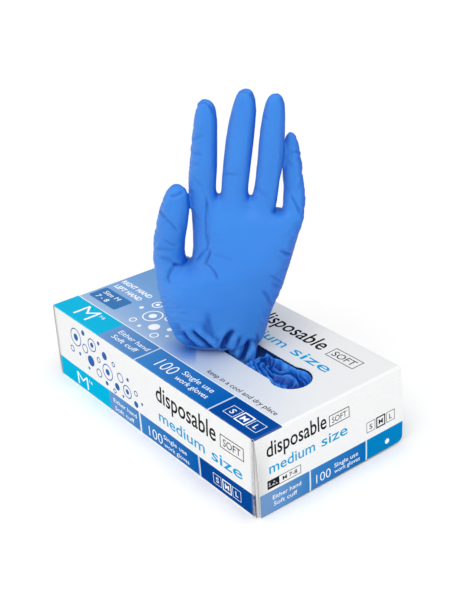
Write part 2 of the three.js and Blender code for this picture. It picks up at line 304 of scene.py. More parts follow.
class Shader:
    def __init__(self, name):
        self.material = bpy.data.materials.new(name)
        self.material.use_nodes = True
        self.tree = self.material.node_tree
        self.tree.nodes.clear()
        self.out = self.add("ShaderNodeOutputMaterial")
        self.bsdf = self.add("ShaderNodeBsdfPrincipled")
        self.put(self.out.inputs["Surface"], Value(self, self.bsdf.outputs[0]))

    def put(self, socket, value):
        if isinstance(value, Value):
            self.tree.links.new(value.socket, socket)
        else:
            socket.default_value = value

    def add(self, kind, inputs=(), **settings):
        node = self.tree.nodes.new(kind)
        assign(node, **settings)
        for key, value in dict(inputs).items():
            self.put(node.inputs[key], value)
        return node

    def get(self, kind, inputs=(), output=0, **settings):
        return Value(self, self.add(kind, inputs, **settings).outputs[output])

    def math(self, operation, *values, clamp=False):
        return self.get("ShaderNodeMath", enumerate(values), operation=operation, use_clamp=clamp)

    def madd(self, x, factor, addend, clamp=False):
        return self.math("MULTIPLY_ADD", x, factor, addend, clamp=clamp)

    def mix(self, fac, a, b):
        return self.get("ShaderNodeMix", {0: fac, 6: a, 7: b}, output=2, data_type="RGBA")

    def rest(self):
        """The undeformed position, in metres."""
        return self.get("ShaderNodeAttribute", output="Vector", attribute_type="GEOMETRY",
                        attribute_name="rest")

    def axes(self, vector, names):
        """The named components of a position in metres, in millimetres."""
        split = self.add("ShaderNodeSeparateXYZ", {0: vector})
        return [Value(self, split.outputs[name]) * 1000.0 for name in names]

    def object_position(self):
        return self.get("ShaderNodeTexCoord", output="Object")

    def above(self, x, at, soft=0.15):
        """0 below, 1 above, with a ramp as wide as soft between."""
        return self.madd(x, 1.0 / soft, 0.5 - at / soft, clamp=True)

    def below(self, x, at, soft=0.15):
        return 1.0 - self.above(x, at, soft)

    def noise(self, vector, scale, detail=2.0, rough=0.5):
        """Scale is per metre."""
        inputs = {"Vector": vector, "Scale": scale, "Detail": detail, "Roughness": rough}
        return self.get("ShaderNodeTexNoise", inputs, output="Fac")

    def remap(self, x, source, target=(0.0, 1.0)):
        return self.get("ShaderNodeMapRange", enumerate((x, *source, *target)), clamp=True)

    def ramp(self, x, stops):
        """stops: (position in mm, colour)."""
        low, high = stops[0][0], stops[-1][0]
        node = self.add("ShaderNodeValToRGB", {0: self.remap(x, (low, high))})
        elements = node.color_ramp.elements
        while len(elements) > 1:
            elements.remove(elements[-1])
        elements[0].color = stops[0][1]
        for at, colour in stops[1:]:
            elements.new((at - low) / (high - low)).color = colour
        return Value(self, node.outputs[0])

    def bump(self, height, strength, depth, normal=None):
        """Depth is in millimetres."""
        inputs = {"Strength": strength, "Distance": depth * MM, "Height": height}
        if normal is not None:
            inputs["Normal"] = normal
        return self.get("ShaderNodeBump", inputs)

    def set(self, **values):
        for key, value in values.items():
            self.put(self.bsdf.inputs[key.replace("_", " ")], value)
        return self.material


# ------------------------------------------------------------------ printed board
CYAN = srgb("00B6DF")
GRADE_2 = (srgb("6C98CF"), srgb("4785C2"))
GRADE_3 = (srgb("3C85C8"), srgb("005DAE"))
NAVY = srgb("004797")
LINE = srgb("EAF3FB")
BAND_TOP_Y = -41.2                      # the coloured band's inner edge on the top panel
BAND_SIDE_Z = 17.5                      # its upper edge on the long sides
BAND_END_Z = 17.2                       # and on the ends


def band_stops(x0, x1, x2, x3, x4):
    """The band: a plain field, two graded fields with white rules between, and a dark field."""
    soft = 0.12
    return [(x0, CYAN), (x1 - soft, CYAN), (x1 + soft, GRADE_2[0]), (x2 - 0.6, GRADE_2[1]),
            (x2 - 0.5, LINE), (x2 + 0.5, LINE), (x2 + 0.6, GRADE_3[0]), (x3 - 0.6, GRADE_3[1]),
            (x3 - 0.5, LINE), (x3 + 0.5, LINE), (x3 + 0.6, NAVY), (x4, NAVY)]


def paper(s, rest, dark="F1F2F4", light="F8F8F8"):
    return s.mix(s.remap(s.noise(rest, scale=900.0, detail=3.0), (0.35, 0.65)),
                 srgb(dark), srgb(light))


def top_print(s, rest):
    x, y = s.axes(rest, "XY")
    # blue wash, palest next to the band, that fades to white past the middle
    wash = s.ramp(y, [(-42, srgb("A5C0E2")), (-34, srgb("97B6DE")), (-20, srgb("86AEDD")),
                      (10, srgb("6F9FD4")), (64, srgb("588FC8"))])
    fade = s.remap(s.madd(y, 0.62, x), (-34.0, 34.0), (1.0, 0.0))
    uneven = s.madd(s.noise(rest, scale=14.0, detail=1.0), 0.2, 0.9)
    fade = s.math("MULTIPLY", fade, uneven, clamp=True)
    pale = s.mix(s.remap(s.madd(y, 0.9, x), (0.0, 108.0)), srgb("CBD4E0"), srgb("EDEEED"))
    colour = s.mix(fade, pale, wash)
    # painted shadow of the standing glove, tinted by its blue bounce light: a darker blue oval
    # round (7, 29), cut off along one side
    dx, dy = x + -7.0, y + 29.0
    away = s.math("SQRT", dx * dx + dy * (dy * 1.6))
    cut = s.below(s.madd(y, 1.27, x), -21.0, soft=3.0)
    colour = s.mix(s.remap(away, (2.0, 22.0), (0.85, 0.0)) * cut, colour, srgb("2F82D8"))
    # blue label round (-98, 25.5), with rounded corners
    over_x = s.math("MAXIMUM", abs(x + 98.0) + -16.0, 0.0)
    over_y = s.math("MAXIMUM", abs(y + 25.5) + -6.5, 0.0)
    corner = s.math("SQRT", over_x * over_x + over_y * over_y)
    colour = s.mix(s.below(corner, 2.0, soft=0.3), colour, srgb("3A77B4"))
    # the band, with a white rule along it
    colour = s.mix(s.below(y, BAND_TOP_Y + 0.8), colour, LINE)
    band = s.ramp(x, band_stops(-120, -56, -9.5, 74, 120))
    colour = s.mix(s.below(y, BAND_TOP_Y), colour, band)
    return colour, s.math("MINIMUM", HALF_Y - abs(y), (HALF_X - 1.0) - abs(x))


def side_print(s, rest, mirrored):
    x, z = s.axes(rest, "XZ")
    along = x * -1.0 if mirrored else x
    band = s.ramp(along, band_stops(-120, -47, -8, 61.5, 120))
    # painted shade: the long sides' white board is a little darker than the other panels'
    colour = s.mix(s.below(z, BAND_SIDE_Z), paper(s, rest, "EDEEEF", "F4F4F4"), band)
    # painted shade: grey towards the ends, where the sides turn round the creases, most of all
    # low down
    shade = s.remap(abs(x), (HALF_X - 5.0, HALF_X - 3.0), (0.0, 0.5))
    shade = shade * s.remap(z, (54.0, 30.0), (0.5, 1.0))
    colour = s.mix(shade, colour, srgb("8A8C90"))
    near_z = s.math("MINIMUM", HEIGHT - z, z)
    return colour, s.math("MINIMUM", near_z, (HALF_X - 2.6) - abs(x))


def end_print(s, rest, right):
    y, z = s.axes(rest, "YZ")
    stops = [(-70, srgb("84A8D6")), (-21.3, srgb("3C82C2")), (-21.2, LINE), (-20.2, LINE),
             (-20.1, srgb("3B82C6")), (29.2, srgb("006EB8")), (29.3, LINE), (30.3, LINE),
             (30.4, srgb("0080C2")), (70, srgb("0084C6"))]
    band = s.below(z, BAND_END_Z)
    colour = s.mix(band, paper(s, rest), s.ramp(y if right else y * -1.0, stops))
    if right:
        # painted shade where the flap's front edge bends away from the light
        away = s.remap(y, (-64.0, -50.0), (0.55, 0.0)) * s.remap(z, (30.0, 58.0), (1.0, 0.25))
        colour = s.mix(away, colour, s.mix(band, srgb("A9ACAC"), srgb("5F86B4")))
    # the top panel's band runs on over the crease
    over = s.above(z, 59.3, soft=0.1) * s.below(y, BAND_TOP_Y)
    colour = s.mix(over, colour, NAVY if right else CYAN)
    return colour, abs(z - (HEIGHT - 0.4))


def plain_print(s, rest):
    x, y, z = s.axes(rest, "XYZ")
    # the long sides' band runs on round the dust flaps' crease; the turned strip is painted in
    # shade
    turned = s.above(abs(x), DUST_FLAP_X - 2.4, soft=0.2)
    turned = turned * s.above(abs(y), HALF_Y - 1.2, soft=0.3)
    low = turned * s.below(z, BAND_SIDE_Z)
    # painted shade: grey on the turned strip of white board
    colour = s.mix(turned * 0.55, paper(s, rest), srgb("77797C"))
    # the band round the crease in darker colours, as painted shade
    band = s.mix(s.above(x * y, 0.0, soft=0.1), srgb("002E66"), srgb("0089B0"))
    return s.mix(low, colour, band), HALF_Y - abs(y)


def printed_board(name, paint, most_wear=0.45, coat=0.03, specular=0.0):
    """Coated white board. paint gives its colour and the distance from the nearest crease."""
    s = Shader(name)
    rest = s.rest()
    colour, distance = paint(s, rest)
    # print worn off along the creases
    worn = s.remap(s.noise(rest, scale=300.0, detail=4.0, rough=0.7), (0.40, 0.62),
                   (0.08, most_wear))
    colour = s.mix(s.remap(distance, (0.1, 0.55), (1.0, 0.0)) * worn, colour, srgb("EDEEF0"))
    fibre = s.noise(rest, scale=2600.0, detail=3.0, rough=0.6)
    wave = s.noise(rest, scale=26.0)
    normal = s.bump(fibre, strength=0.05, depth=0.02)
    normal = s.bump(wave, strength=0.12, depth=1.0, normal=normal)
    rough = s.remap(s.noise(rest, scale=160.0, detail=3.0), (0.3, 0.7), (0.27, 0.36))
    return s.set(Base_Color=colour, Roughness=rough, Normal=normal, Coat_Weight=coat,
                 Coat_Roughness=0.12, Specular_IOR_Level=specular)


def raw_board(name, dark, light, speckle):
    s = Shader(name)
    rest = s.rest()
    cloud = s.noise(rest, scale=420.0, detail=5.0, rough=0.7)
    grain = s.noise(rest, scale=2200.0, detail=3.0, rough=0.6)
    colour = s.mix(s.remap(cloud, (0.3, 0.7)), srgb(dark), srgb(light))
    colour = s.mix(s.remap(grain, (0.6, 0.75), (0.0, speckle)), colour, srgb("A59F93"))
    return s.set(Base_Color=colour, Roughness=0.85,
                 Normal=s.bump(grain, strength=0.25, depth=0.05))


INSIDE = raw_board("board_inside", "D6D3CB", "E3E0DA", speckle=0.2)
CUT_EDGE = raw_board("board_cut_edge", "E2E0DB", "F2F1EE", speckle=0.12)
TOP = printed_board("print_top", top_print, coat=0.12, specular=0.05)
FRONT = printed_board("print_front", partial(side_print, mirrored=False))
BACK = printed_board("print_back", partial(side_print, mirrored=True))
PLAIN = printed_board("print_plain", plain_print)
END_PRINT = {
    1: printed_board("print_right_end", partial(end_print, right=True), most_wear=0.12),
    -1: printed_board("print_left_end", partial(end_print, right=False), most_wear=0.12),
}


# ------------------------------------------------------------------ ink
def ink(name, hexcode):
    s = Shader(name)
    grain = s.noise(s.object_position(), scale=1800.0, detail=3.0)
    colour = srgb(hexcode)
    lighter = tuple(min(1.0, v * 1.12 + 0.01) for v in colour[:3]) + (1.0,)
    return s.set(Base_Color=s.mix(grain, colour, lighter), Roughness=0.3,
                 Normal=s.bump(grain, strength=0.08, depth=0.02), Coat_Weight=0.02,
                 Coat_Roughness=0.16, Specular_IOR_Level=0.0)


INKS = {name: ink(f"ink_{name}", hexcode) for name, hexcode in (
    ("black", "202124"), ("cyan", "0E9BD0"), ("white", "F7FBFF"),
    ("grey", "8E949B"), ("blue", "2C62A8"), ("pale_blue", "B9C9E6"))}


# ------------------------------------------------------------------ nitrile film
def film(name, base, deep, rough, translucent, standing=0.0):
    """Thin pebbled film that lets a little light through.

    standing, 0 or 1, turns on the painted shade and light that follow the film's direction and
    height.
    """
    s = Shader(name)
    position = s.object_position()
    blotch = s.noise(position, scale=22.0, detail=3.0)
    colour = s.mix(s.remap(blotch, (0.3, 0.7)), srgb(base), srgb(deep))
    fold = s.get("ShaderNodeAttribute", output="Fac", attribute_type="GEOMETRY",
                 attribute_name="fold")
    # painted shade on faces turned to the right and back, painted light on those turned the other
    # way
    normal = s.get("ShaderNodeNewGeometry", output="Normal")
    turn = s.get("ShaderNodeVectorMath", {0: normal, 1: (0.60, 0.79, -0.08)}, output="Value",
                 operation="DOT_PRODUCT")
    colour = s.mix(s.remap(turn, (0.40, 0.90), (0.0, 0.85 * standing)), colour, srgb("0064DE"))
    colour = s.mix(s.remap(turn, (-0.95, -0.30), (0.45 * standing, 0.0)), colour, srgb("66A4F8"))
    if standing:
        # painted light: paler near the slot; heights in metres
        height = s.get("ShaderNodeSeparateXYZ", {0: position}, output="Z")
        colour = s.mix(s.remap(height, (0.060, 0.100), (0.55, 0.0)), colour, srgb("58ACFF"))
    # painted shade down in the folds
    colour = s.mix(fold * 0.75, colour, srgb("0A4CC0"))
    colour = s.mix(fold ** 3.0 * 0.65, colour, srgb("063492"))
    pebble = s.noise(position, scale=1500.0, rough=0.6)
    wrinkle = s.noise(position, scale=150.0, detail=3.0, rough=0.55)
    normal = s.bump(pebble, strength=0.16, depth=0.05)
    normal = s.bump(wrinkle, strength=0.10, depth=0.7, normal=normal)
    roughness = s.remap(s.noise(position, scale=90.0), (0.3, 0.7), (rough - 0.05, rough + 0.06))
    s.set(Base_Color=colour, Roughness=roughness, Normal=normal, Specular_IOR_Level=0.26)
    through = s.get("ShaderNodeBsdfTranslucent", {"Color": colour, "Normal": normal})
    surface_shader = Value(s, s.bsdf.outputs[0])
    both = s.get("ShaderNodeMixShader", {0: translucent, 1: surface_shader, 2: through})
    s.put(s.out.inputs["Surface"], both)
    return s.material


STANDING_FILM = film("nitrile_film", "4499F7", "3F92F2", rough=0.42, translucent=0.22,
                     standing=1.0)
CRUMPLED_FILM = film("nitrile_film_crumpled", "3F98F4", "358CEC", rough=0.34, translucent=0.12)
# a darker copy of the film, as painted shade on the gloves packed down in the carton
SHADED_PACKED_FILM = film("nitrile_film_packed_shaded", "3A78DE", "3270D4", rough=0.45, translucent=0.1)


# ------------------------------------------------------------------ the slot
def slot_sizes():
    """Low and high x, half width at the waist and radius of the round ends, from the CAD hole."""
    points = np.array([v.co for v in NODES["top_panel"].data.vertices]) * 1000.0
    p = np.unique(np.round(points[points[:, 2] > HEIGHT - 0.05][:, :2], 3), axis=0)
    p = p[(np.abs(p[:, 0]) < HALF_X - 3) & (np.abs(p[:, 1]) < HALF_Y - 3)]
    middle = (p[:, 0].min() + p[:, 0].max()) / 2
    waist = np.abs(p[:, 1][np.argsort(np.abs(p[:, 0] - middle))[:4]]).min()
    return p[:, 0].min(), p[:, 0].max(), waist, np.abs(p[:, 1]).max()


SLOT_X0, SLOT_X1, WAIST, SLOT_R = slot_sizes()
ROUND_X0, ROUND_X1 = SLOT_X0 + SLOT_R, SLOT_X1 - SLOT_R     # centres of the round ends


def slot_outline():
    """The torn-out slot, with the stubs of its perforation along the rim."""
    a0 = math.asin(min(1.0, WAIST / SLOT_R))
    loop = []
    for k in range(49):
        t = -(math.pi - a0) + 2 * (math.pi - a0) * k / 48
        loop.append((ROUND_X1 + SLOT_R * math.cos(t), SLOT_R * math.sin(t)))
    for k in range(49):
        t = a0 + (2 * math.pi - 2 * a0) * k / 48
        loop.append((ROUND_X0 + SLOT_R * math.cos(t), SLOT_R * math.sin(t)))
    loop = np.array(loop)
    # even steps, then the stubs
    seg = np.roll(loop, -1, 0) - loop
    length = np.hypot(seg[:, 0], seg[:, 1])
    run = np.concatenate([[0], np.cumsum(length)])
    n = int(run[-1] / 0.85)
    points, normals, depth = [], [], []
    for k in range(n):
        d = run[-1] * k / n
        i = min(np.searchsorted(run, d, side="right") - 1, len(loop) - 1)
        points.append(loop[i] + seg[i] * ((d - run[i]) / max(length[i], 1e-9)))
        normals.append(np.array([-seg[i][1], seg[i][0]]) / max(length[i], 1e-9))
        stub = 0.32 if k % 4 == 0 else 0.0
        depth.append(stub * (0.6 + 0.8 * abs(noise.noise(Vector((k * 0.7, 3.1, 0))))))
    return np.array(points) + np.array(normals) * np.array(depth)[:, None]


def slot_margin(x, y, inset):
    """Distance inside the slot's outline, shrunk by inset; negative outside."""
    round_ends = np.maximum(SLOT_R - inset - np.hypot(x - ROUND_X1, y),
                            SLOT_R - inset - np.hypot(x - ROUND_X0, y))
    waist = np.where((x > ROUND_X0) & (x < ROUND_X1), WAIST - inset - np.abs(y), -1e3)
    return np.maximum(round_ends, waist)


SLOT = slot_outline()


# ------------------------------------------------------------------ carton sleeve
def warp_top(x, y):
    """How far the top board stands off its plane: it bellies and lifts at the slot's rim."""
    belly = (0.35 * np.cos(np.pi * np.clip(x / 240, -0.5, 0.5))
             * np.cos(np.pi * np.clip(y / 128, -0.5, 0.5)))
    roll = 0.16 * np.sin(x * 0.045 + 0.6) * np.sin(y * 0.05 + 1.1)
    dx = np.maximum(np.maximum(ROUND_X0 - x, x - ROUND_X1), 0)
    d = np.hypot(dx, y) - np.where(dx > 0, SLOT_R, WAIST)
    lift = 0.45 * np.exp(-np.clip(d, 0, None) / 5.0) * (0.6 + 0.4 * np.sin(x * 0.08))
    fade = ease(0, 6, HALF_Y - 1 - np.abs(y)) * ease(0, 6, TOP_END_X - np.abs(x))
    return (belly + roll + lift - 0.15) * fade


def warp_side(x, z, sign):
    """The long sides belly out a little between their creases."""
    fade = ease(0, 26, z) * ease(0, 26, HEIGHT - z) * ease(0, 26, HALF_X - 2.8 - np.abs(x))
    return fade * (0.55 + 0.25 * np.sin(x * 0.03 + 0.4 + sign)
                   + 0.12 * np.sin(x * 0.11 + z * 0.09))


def sleeve_grid():
    """Points and triangles of the sleeve's outer surface, on its planes."""
    r = CREASE_R
    columns = 49
    along = np.linspace(-1, 1, columns)
    flat_y, flat_z = HALF_Y - r, HEIGHT - r
    y_lines = np.linspace(-flat_y, flat_y, 27)
    z_lines = np.linspace(r, flat_z, 13)
    verts, tris = [], []

    def strip(path):
        """A strip of board along x over a path of (y, z) points."""
        base = len(verts)
        verts.extend((g, y, z) for y, z in path for g in along)
        for j in range(len(path) - 1):
            for i in range(columns - 1):
                a = base + j * columns + i
                tris.append((a, a + 1, a + columns + 1))
                tris.append((a, a + columns + 1, a + columns))

    def crease(y, z, start, end):
        turns = [math.radians(start + (end - start) * k / 4) for k in range(5)]
        strip([(y + r * math.cos(t), z + r * math.sin(t)) for t in turns])

    strip([(y, 0.0) for y in y_lines[::-1]])
    crease(-flat_y, r, 270, 180)
    strip([(-HALF_Y, z) for z in z_lines])
    crease(-flat_y, flat_z, 180, 90)
    crease(flat_y, flat_z, 90, 0)
    strip([(HALF_Y, z) for z in z_lines[::-1]])
    crease(flat_y, r, 0, -90)
    # top panel with its slot
    xs = along * TOP_END_X
    outline = ([(x, y_lines[0]) for x in xs] + [(xs[-1], y) for y in y_lines[1:]]
               + [(x, y_lines[-1]) for x in xs[-2::-1]] + [(xs[0], y) for y in y_lines[-2:0:-1]])
    rim = []
    for out in (1.6, 3.6):
        for p, q in zip(SLOT, np.roll(SLOT, -1, 0)):
            d = q - p
            normal = np.array([d[1], -d[0]]) / max(np.hypot(*d), 1e-9)
            rim.append(tuple((p + q) / 2 + normal * out))
    inner = [(x, y) for x in xs[1:-1] for y in y_lines[1:-1]]
    inner = [q for q in inner if distance_to_loop(np.array([q]), SLOT)[0] > 4.5]
    points, top_tris = triangulate(outline, [SLOT], rim[::2] + inner)
    tris.extend((len(verts) + top_tris).tolist())
    verts.extend((a / TOP_END_X, b, HEIGHT) for a, b in points)
    # merge the shared lines
    verts = np.array(verts)
    _, first, inverse = np.unique(np.round(verts, 4), axis=0, return_index=True,
                                  return_inverse=True)
    return verts[first], inverse.ravel()[np.array(tris)]


def build_sleeve():
    r = CREASE_R
    points, tris = sleeve_grid()
    core_y = np.clip(points[:, 1], -(HALF_Y - r), HALF_Y - r)
    core_z = np.clip(points[:, 2], r, HEIGHT - r)
    normals = np.stack([np.zeros(len(points)), points[:, 1] - core_y, points[:, 2] - core_z], 1)
    normals /= np.linalg.norm(normals, axis=1)[:, None]
    ny, nz = normals[:, 1], normals[:, 2]
    # each panel's ends stop short by its own amount, so that the flap layers lie over each other
    ends = (TOP_END_X * np.clip(nz, 0, 1) ** 2 + BASE_END_X * np.clip(-nz, 0, 1) ** 2
            + SIDE_END_X * ny ** 2)
    x = points[:, 0] * TOP_END_X
    near_end = ease(TOP_END_X - 8, TOP_END_X, np.abs(x))
    points[:, 0] = x + np.sign(x) * (ends - TOP_END_X) * near_end
    warp = np.zeros(len(points))
    top = (np.abs(nz) > 0.999) & (points[:, 2] > HEIGHT / 2)
    warp[top] = warp_top(points[top, 0], points[top, 1])
    for sign in (-1, 1):
        side = ny * sign > 0.999
        warp[side] = warp_side(points[side, 0], points[side, 2], sign)
    obj = sheet("carton_sleeve", points + normals * warp[:, None], normals, tris,
                [FRONT, INSIDE, CUT_EDGE, TOP, BACK, PLAIN])
    # outer faces take the print of their panel; the crease belongs to the side panel below it
    polygons = obj.data.polygons
    facing = np.empty(len(polygons) * 3)
    polygons.foreach_get("normal", facing)
    facing = facing.reshape(-1, 3)
    slots = np.empty(len(polygons), np.int32)
    polygons.foreach_get("material_index", slots)
    outer = slots == 0
    slots[outer & (facing[:, 2] > 0.55)] = 3
    slots[outer & (facing[:, 2] <= 0.55) & (facing[:, 1] > 0.3)] = 4
    slots[outer & (facing[:, 2] < -0.55)] = 5
    polygons.foreach_set("material_index", slots)
    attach(obj, "carton")
    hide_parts("top_panel", "front_side_panel", "back_side_panel", "bottom_panel")
    return obj


sleeve = build_sleeve()


# ------------------------------------------------------------------ flaps
def bow(points, sign):
    """How far an outer flap springs outwards, most at its lower far corner."""
    across = (points[:, 1] * sign + HALF_Y) / (2 * HALF_Y)
    lean = 1.5 + 1.9 * across + 0.4 * np.sin(across * math.pi)
    drop = HEIGHT - CREASE_R
    down = np.clip((drop - points[:, 2]) / drop, 0, 1)
    return (1.0 if sign > 0 else 0.6) * lean * (1.25 * down ** 0.85 - 0.25 * down ** 3)


def flap(name, node, sign, origin, normal, axis, strip, radius, outline, outer, crease,
         offset=None):
    """A board flap with its rounded crease, at the right (sign 1) or left (-1) end.

    It starts at origin with a flat strip towards the end, then turns down against normal.
    outline: (a, b), a along the crease's axis, b down from the crease, the crease's ends first.
    crease: the places where the bend starts and ends; not used.
    """
    origin, normal, axis = (np.array(q, float) for q in (origin, normal, axis))
    outward = np.array((sign, 0, 0), float)
    bend = radius * math.pi / 2
    turn = strip + bend
    step = 5.0
    a0, a1 = min(p[0] for p in outline), max(p[0] for p in outline)
    deep = max(p[1] for p in outline)
    low = min(outline, key=lambda p: (p[1], p[0]))
    high = min(outline, key=lambda p: (p[1], -p[0]))
    lines = [0.0, strip] + [strip + bend * k / 4 for k in (1, 2, 3)] + [turn]
    full = ([(low[0], b) for b in reversed(lines)] + [(high[0], b) for b in lines]
            + [(p[0], p[1] + turn) for p in outline if p not in (low, high)])
    n_a, n_b = max(4, int((a1 - a0) / step)), max(3, int(deep / step))
    columns = [a0 + (a1 - a0) * i / n_a for i in range(1, n_a)]
    grid = [(a, b) for a in columns for b in lines[1:]]
    grid += [(a, turn + deep * j / n_b) for a in columns for j in range(1, n_b)]
    points, tris = triangulate(full, [], grid, 0.7)
    a, b = points[:, 0], points[:, 1]
    angle = np.clip((b - strip) / radius, 0, math.pi / 2)
    hanging = np.maximum(b - turn, 0)
    along = np.minimum(b, strip) + radius * np.sin(angle)
    down = radius * (1 - np.cos(angle)) + hanging
    place = origin + a[:, None] * axis + along[:, None] * outward - down[:, None] * normal
    normals = np.cos(angle)[:, None] * normal + np.sin(angle)[:, None] * outward
    if offset is not None:
        place = place + offset(place)[:, None] * normals * ease(0, 3, hanging)[:, None]
    obj = sheet(name, place, normals, tris, [outer, INSIDE, CUT_EDGE])
    start, end = crease
    [q * MM for q in start]
    [q * MM for q in end]
    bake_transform(obj)
    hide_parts(node)


def rounded(points, corner, r):
    """Replaces one corner by a curve of six points."""
    p0, p1, p2 = (np.array(points[(corner + k) % len(points)], float) for k in (-1, 0, 1))
    start = p1 + (p0 - p1) / np.linalg.norm(p0 - p1) * r
    end = p1 + (p2 - p1) / np.linalg.norm(p2 - p1) * r
    curve = []
    for k in range(6):
        t = k / 5
        curve.append(tuple((1 - t) ** 2 * start + 2 * t * (1 - t) * p1 + t * t * end))
    return list(points[:corner]) + curve + list(points[corner + 1:])


def outer_flap(side, sign):
    """From the top panel; cut a little askew, past the carton at one edge, short at the other."""
    length = HEIGHT - CREASE_R - OUTER_FLAP_Z0
    w = HALF_Y - 0.3
    skew, trim_back, trim_front = (1.4, 0.0, 0.0) if sign > 0 else (0.5, 0.6, 0.8)
    back = [(w + 0.5, 0.3 * length), (w + 1.0, 0.7 * length), (w + 0.8, length - skew)]
    front = [(w - 1.9, length), (w - 1.7, 0.65 * length), (w - 1.1, 0.25 * length)]
    outline = ([(-w, 0.0), (w, 0.0)] + [(a - trim_back, b) for a, b in back]
               + [(-(a + trim_front), b) for a, b in front])
    flap(f"{side}_end_flap_board", f"{side}_end_outer_flap", sign,
         origin=(sign * TOP_END_X, 0, HEIGHT), normal=(0, 0, 1), axis=(0, 1, 0),
         strip=HALF_X - CREASE_R - TOP_END_X, radius=CREASE_R,
         outline=rounded(rounded(outline, 5, 1.4), 4, 5.0),
         outer=END_PRINT[sign], offset=lambda q: bow(q, sign),
         crease=((sign * (HALF_X - CREASE_R), 0, HEIGHT), (sign * HALF_X, 0, HEIGHT - 1.6)))


def inner_flap(side, sign):
    """From the bottom panel."""
    node = f"{side}_end_inner_flap"
    r = FLAP_CREASE_R
    top = edge(node, 1, 2) - r
    w = HALF_Y - 0.3
    flap(f"{side}_inner_flap_board", node, sign,
         origin=(sign * BASE_END_X, 0, 0), normal=(0, 0, -1), axis=(0, 1, 0),
         strip=INNER_FLAP_X - r - BASE_END_X, radius=r,
         outline=[(-w, 0.0), (w, 0.0), (w - 1.5, top - 6), (w - 7.5, top), (-w + 7.5, top),
                  (-w + 1.5, top - 6)],
         outer=PLAIN,
         crease=((sign * (INNER_FLAP_X - 0.9), 0, 0), (sign * INNER_FLAP_X, 0, 1.5)))


def dust_flap(side, sign, which, t):
    """From the front (t = -1) or back (t = 1) side panel."""
    node = f"{side}_end_{which}_dust_flap"
    r = FLAP_CREASE_R
    z0, z1 = edge(node, 0, 2), edge(node, 1, 2)
    deep = HALF_Y - r - (edge(node, 0, 1) if t > 0 else -edge(node, 1, 1))
    flap(f"{side}_{which}_dust_flap_board", node, sign,
         origin=(sign * SIDE_END_X, t * HALF_Y, 0), normal=(0, t, 0), axis=(0, 0, 1),
         strip=DUST_FLAP_X - r - SIDE_END_X, radius=r,
         outline=[(z0, 0.0), (z1, 0.0), (z1 - 13.0, deep - 1.2), (z1 - 14.5, deep),
                  (z0 + 20.5, deep), (z0 + 19.0, deep - 1.2)],
         outer=PLAIN,
         crease=((sign * (DUST_FLAP_X - 0.9), t * HALF_Y, 0),
                 (sign * DUST_FLAP_X, t * (HALF_Y - 1.5), 0)))


ENDS = (("right", 1), ("left", -1))
LONG_SIDES = (("front", -1), ("back", 1))
for side, sign in ENDS:
    outer_flap(side, sign)
    inner_flap(side, sign)
    for which, t in LONG_SIDES:
        dust_flap(side, sign, which, t)

seam = NODES["glued_seam_flap"].data
seam.materials.clear()
seam.materials.append(INSIDE)
point_attribute(seam, "rest", "FLOAT_VECTOR", np.array([v.co for v in seam.vertices], np.float32))


# ------------------------------------------------------------------ print as thin ink
# A shape is its points (u, v, w) and faces; w is 1 on top of the ink and -1 under it.
INK_UP, INK_DOWN = 0.05, 0.1            # above and into the board


def prism(loop):
    loop = [tuple(p) for p in loop]
    area = sum(p[0] * q[1] - q[0] * p[1] for p, q in zip(loop, loop[1:] + loop[:1]))
    if area < 0:
        loop = loop[::-1]
    p, t = triangulate(loop, [], [])
    n = len(p)
    ab, ac = p[t[:, 1]] - p[t[:, 0]], p[t[:, 2]] - p[t[:, 0]]
    ccw = (ab[:, 0] * ac[:, 1] - ab[:, 1] * ac[:, 0]) > 0
    t = np.where(ccw[:, None], t, t[:, ::-1])
    faces = t.tolist() + (t[:, ::-1] + n).tolist()
    sides = {(q[i], q[(i + 1) % 3]) for q in t.tolist() for i in range(3)}
    faces += [[j, i, i + n, j + n] for i, j in sides if (j, i) not in sides]
    return np.vstack([np.c_[p, np.ones(n)], np.c_[p, -np.ones(n)]]), faces


def disc(cx, cy, r, n=20):
    turns = [2 * math.pi * k / n for k in range(n)]
    return prism([(cx + r * math.cos(a), cy + r * math.sin(a)) for a in turns])


def rectangle(x0, y0, x1, y1):
    return prism([(x0, y0), (x1, y0), (x1, y1), (x0, y1)])


def loop_shape(outer, inner):
    """The closed strip between two loops of as many points."""
    n = len(outer)
    verts = np.vstack([np.c_[q, np.full(n, w)] for w in (1.0, -1.0) for q in (outer, inner)])
    faces = []
    for k in range(n):
        j = (k + 1) % n
        faces += [[k, j, n + j, n + k], [2 * n + k, 3 * n + k, 3 * n + j, 2 * n + j],
                  [2 * n + k, 2 * n + j, j, k], [n + k, n + j, 3 * n + j, 3 * n + k]]
    return verts, faces


def ring(cx, cy, r, w):
    a = np.linspace(0, 2 * math.pi, 36, endpoint=False)
    circle = np.c_[np.cos(a), np.sin(a)]
    middle = np.array([cx, cy])
    return loop_shape(middle + circle * (r + w / 2), middle + circle * (r - w / 2))


def box(x0, y0, x1, y1, w):
    """A rectangular line of width w."""
    return loop_shape(*(np.array([(x0 - h, y0 - h), (x1 + h, y0 - h), (x1 + h, y1 + h),
                                  (x0 - h, y1 + h)], float) for h in (w / 2, -w / 2)))


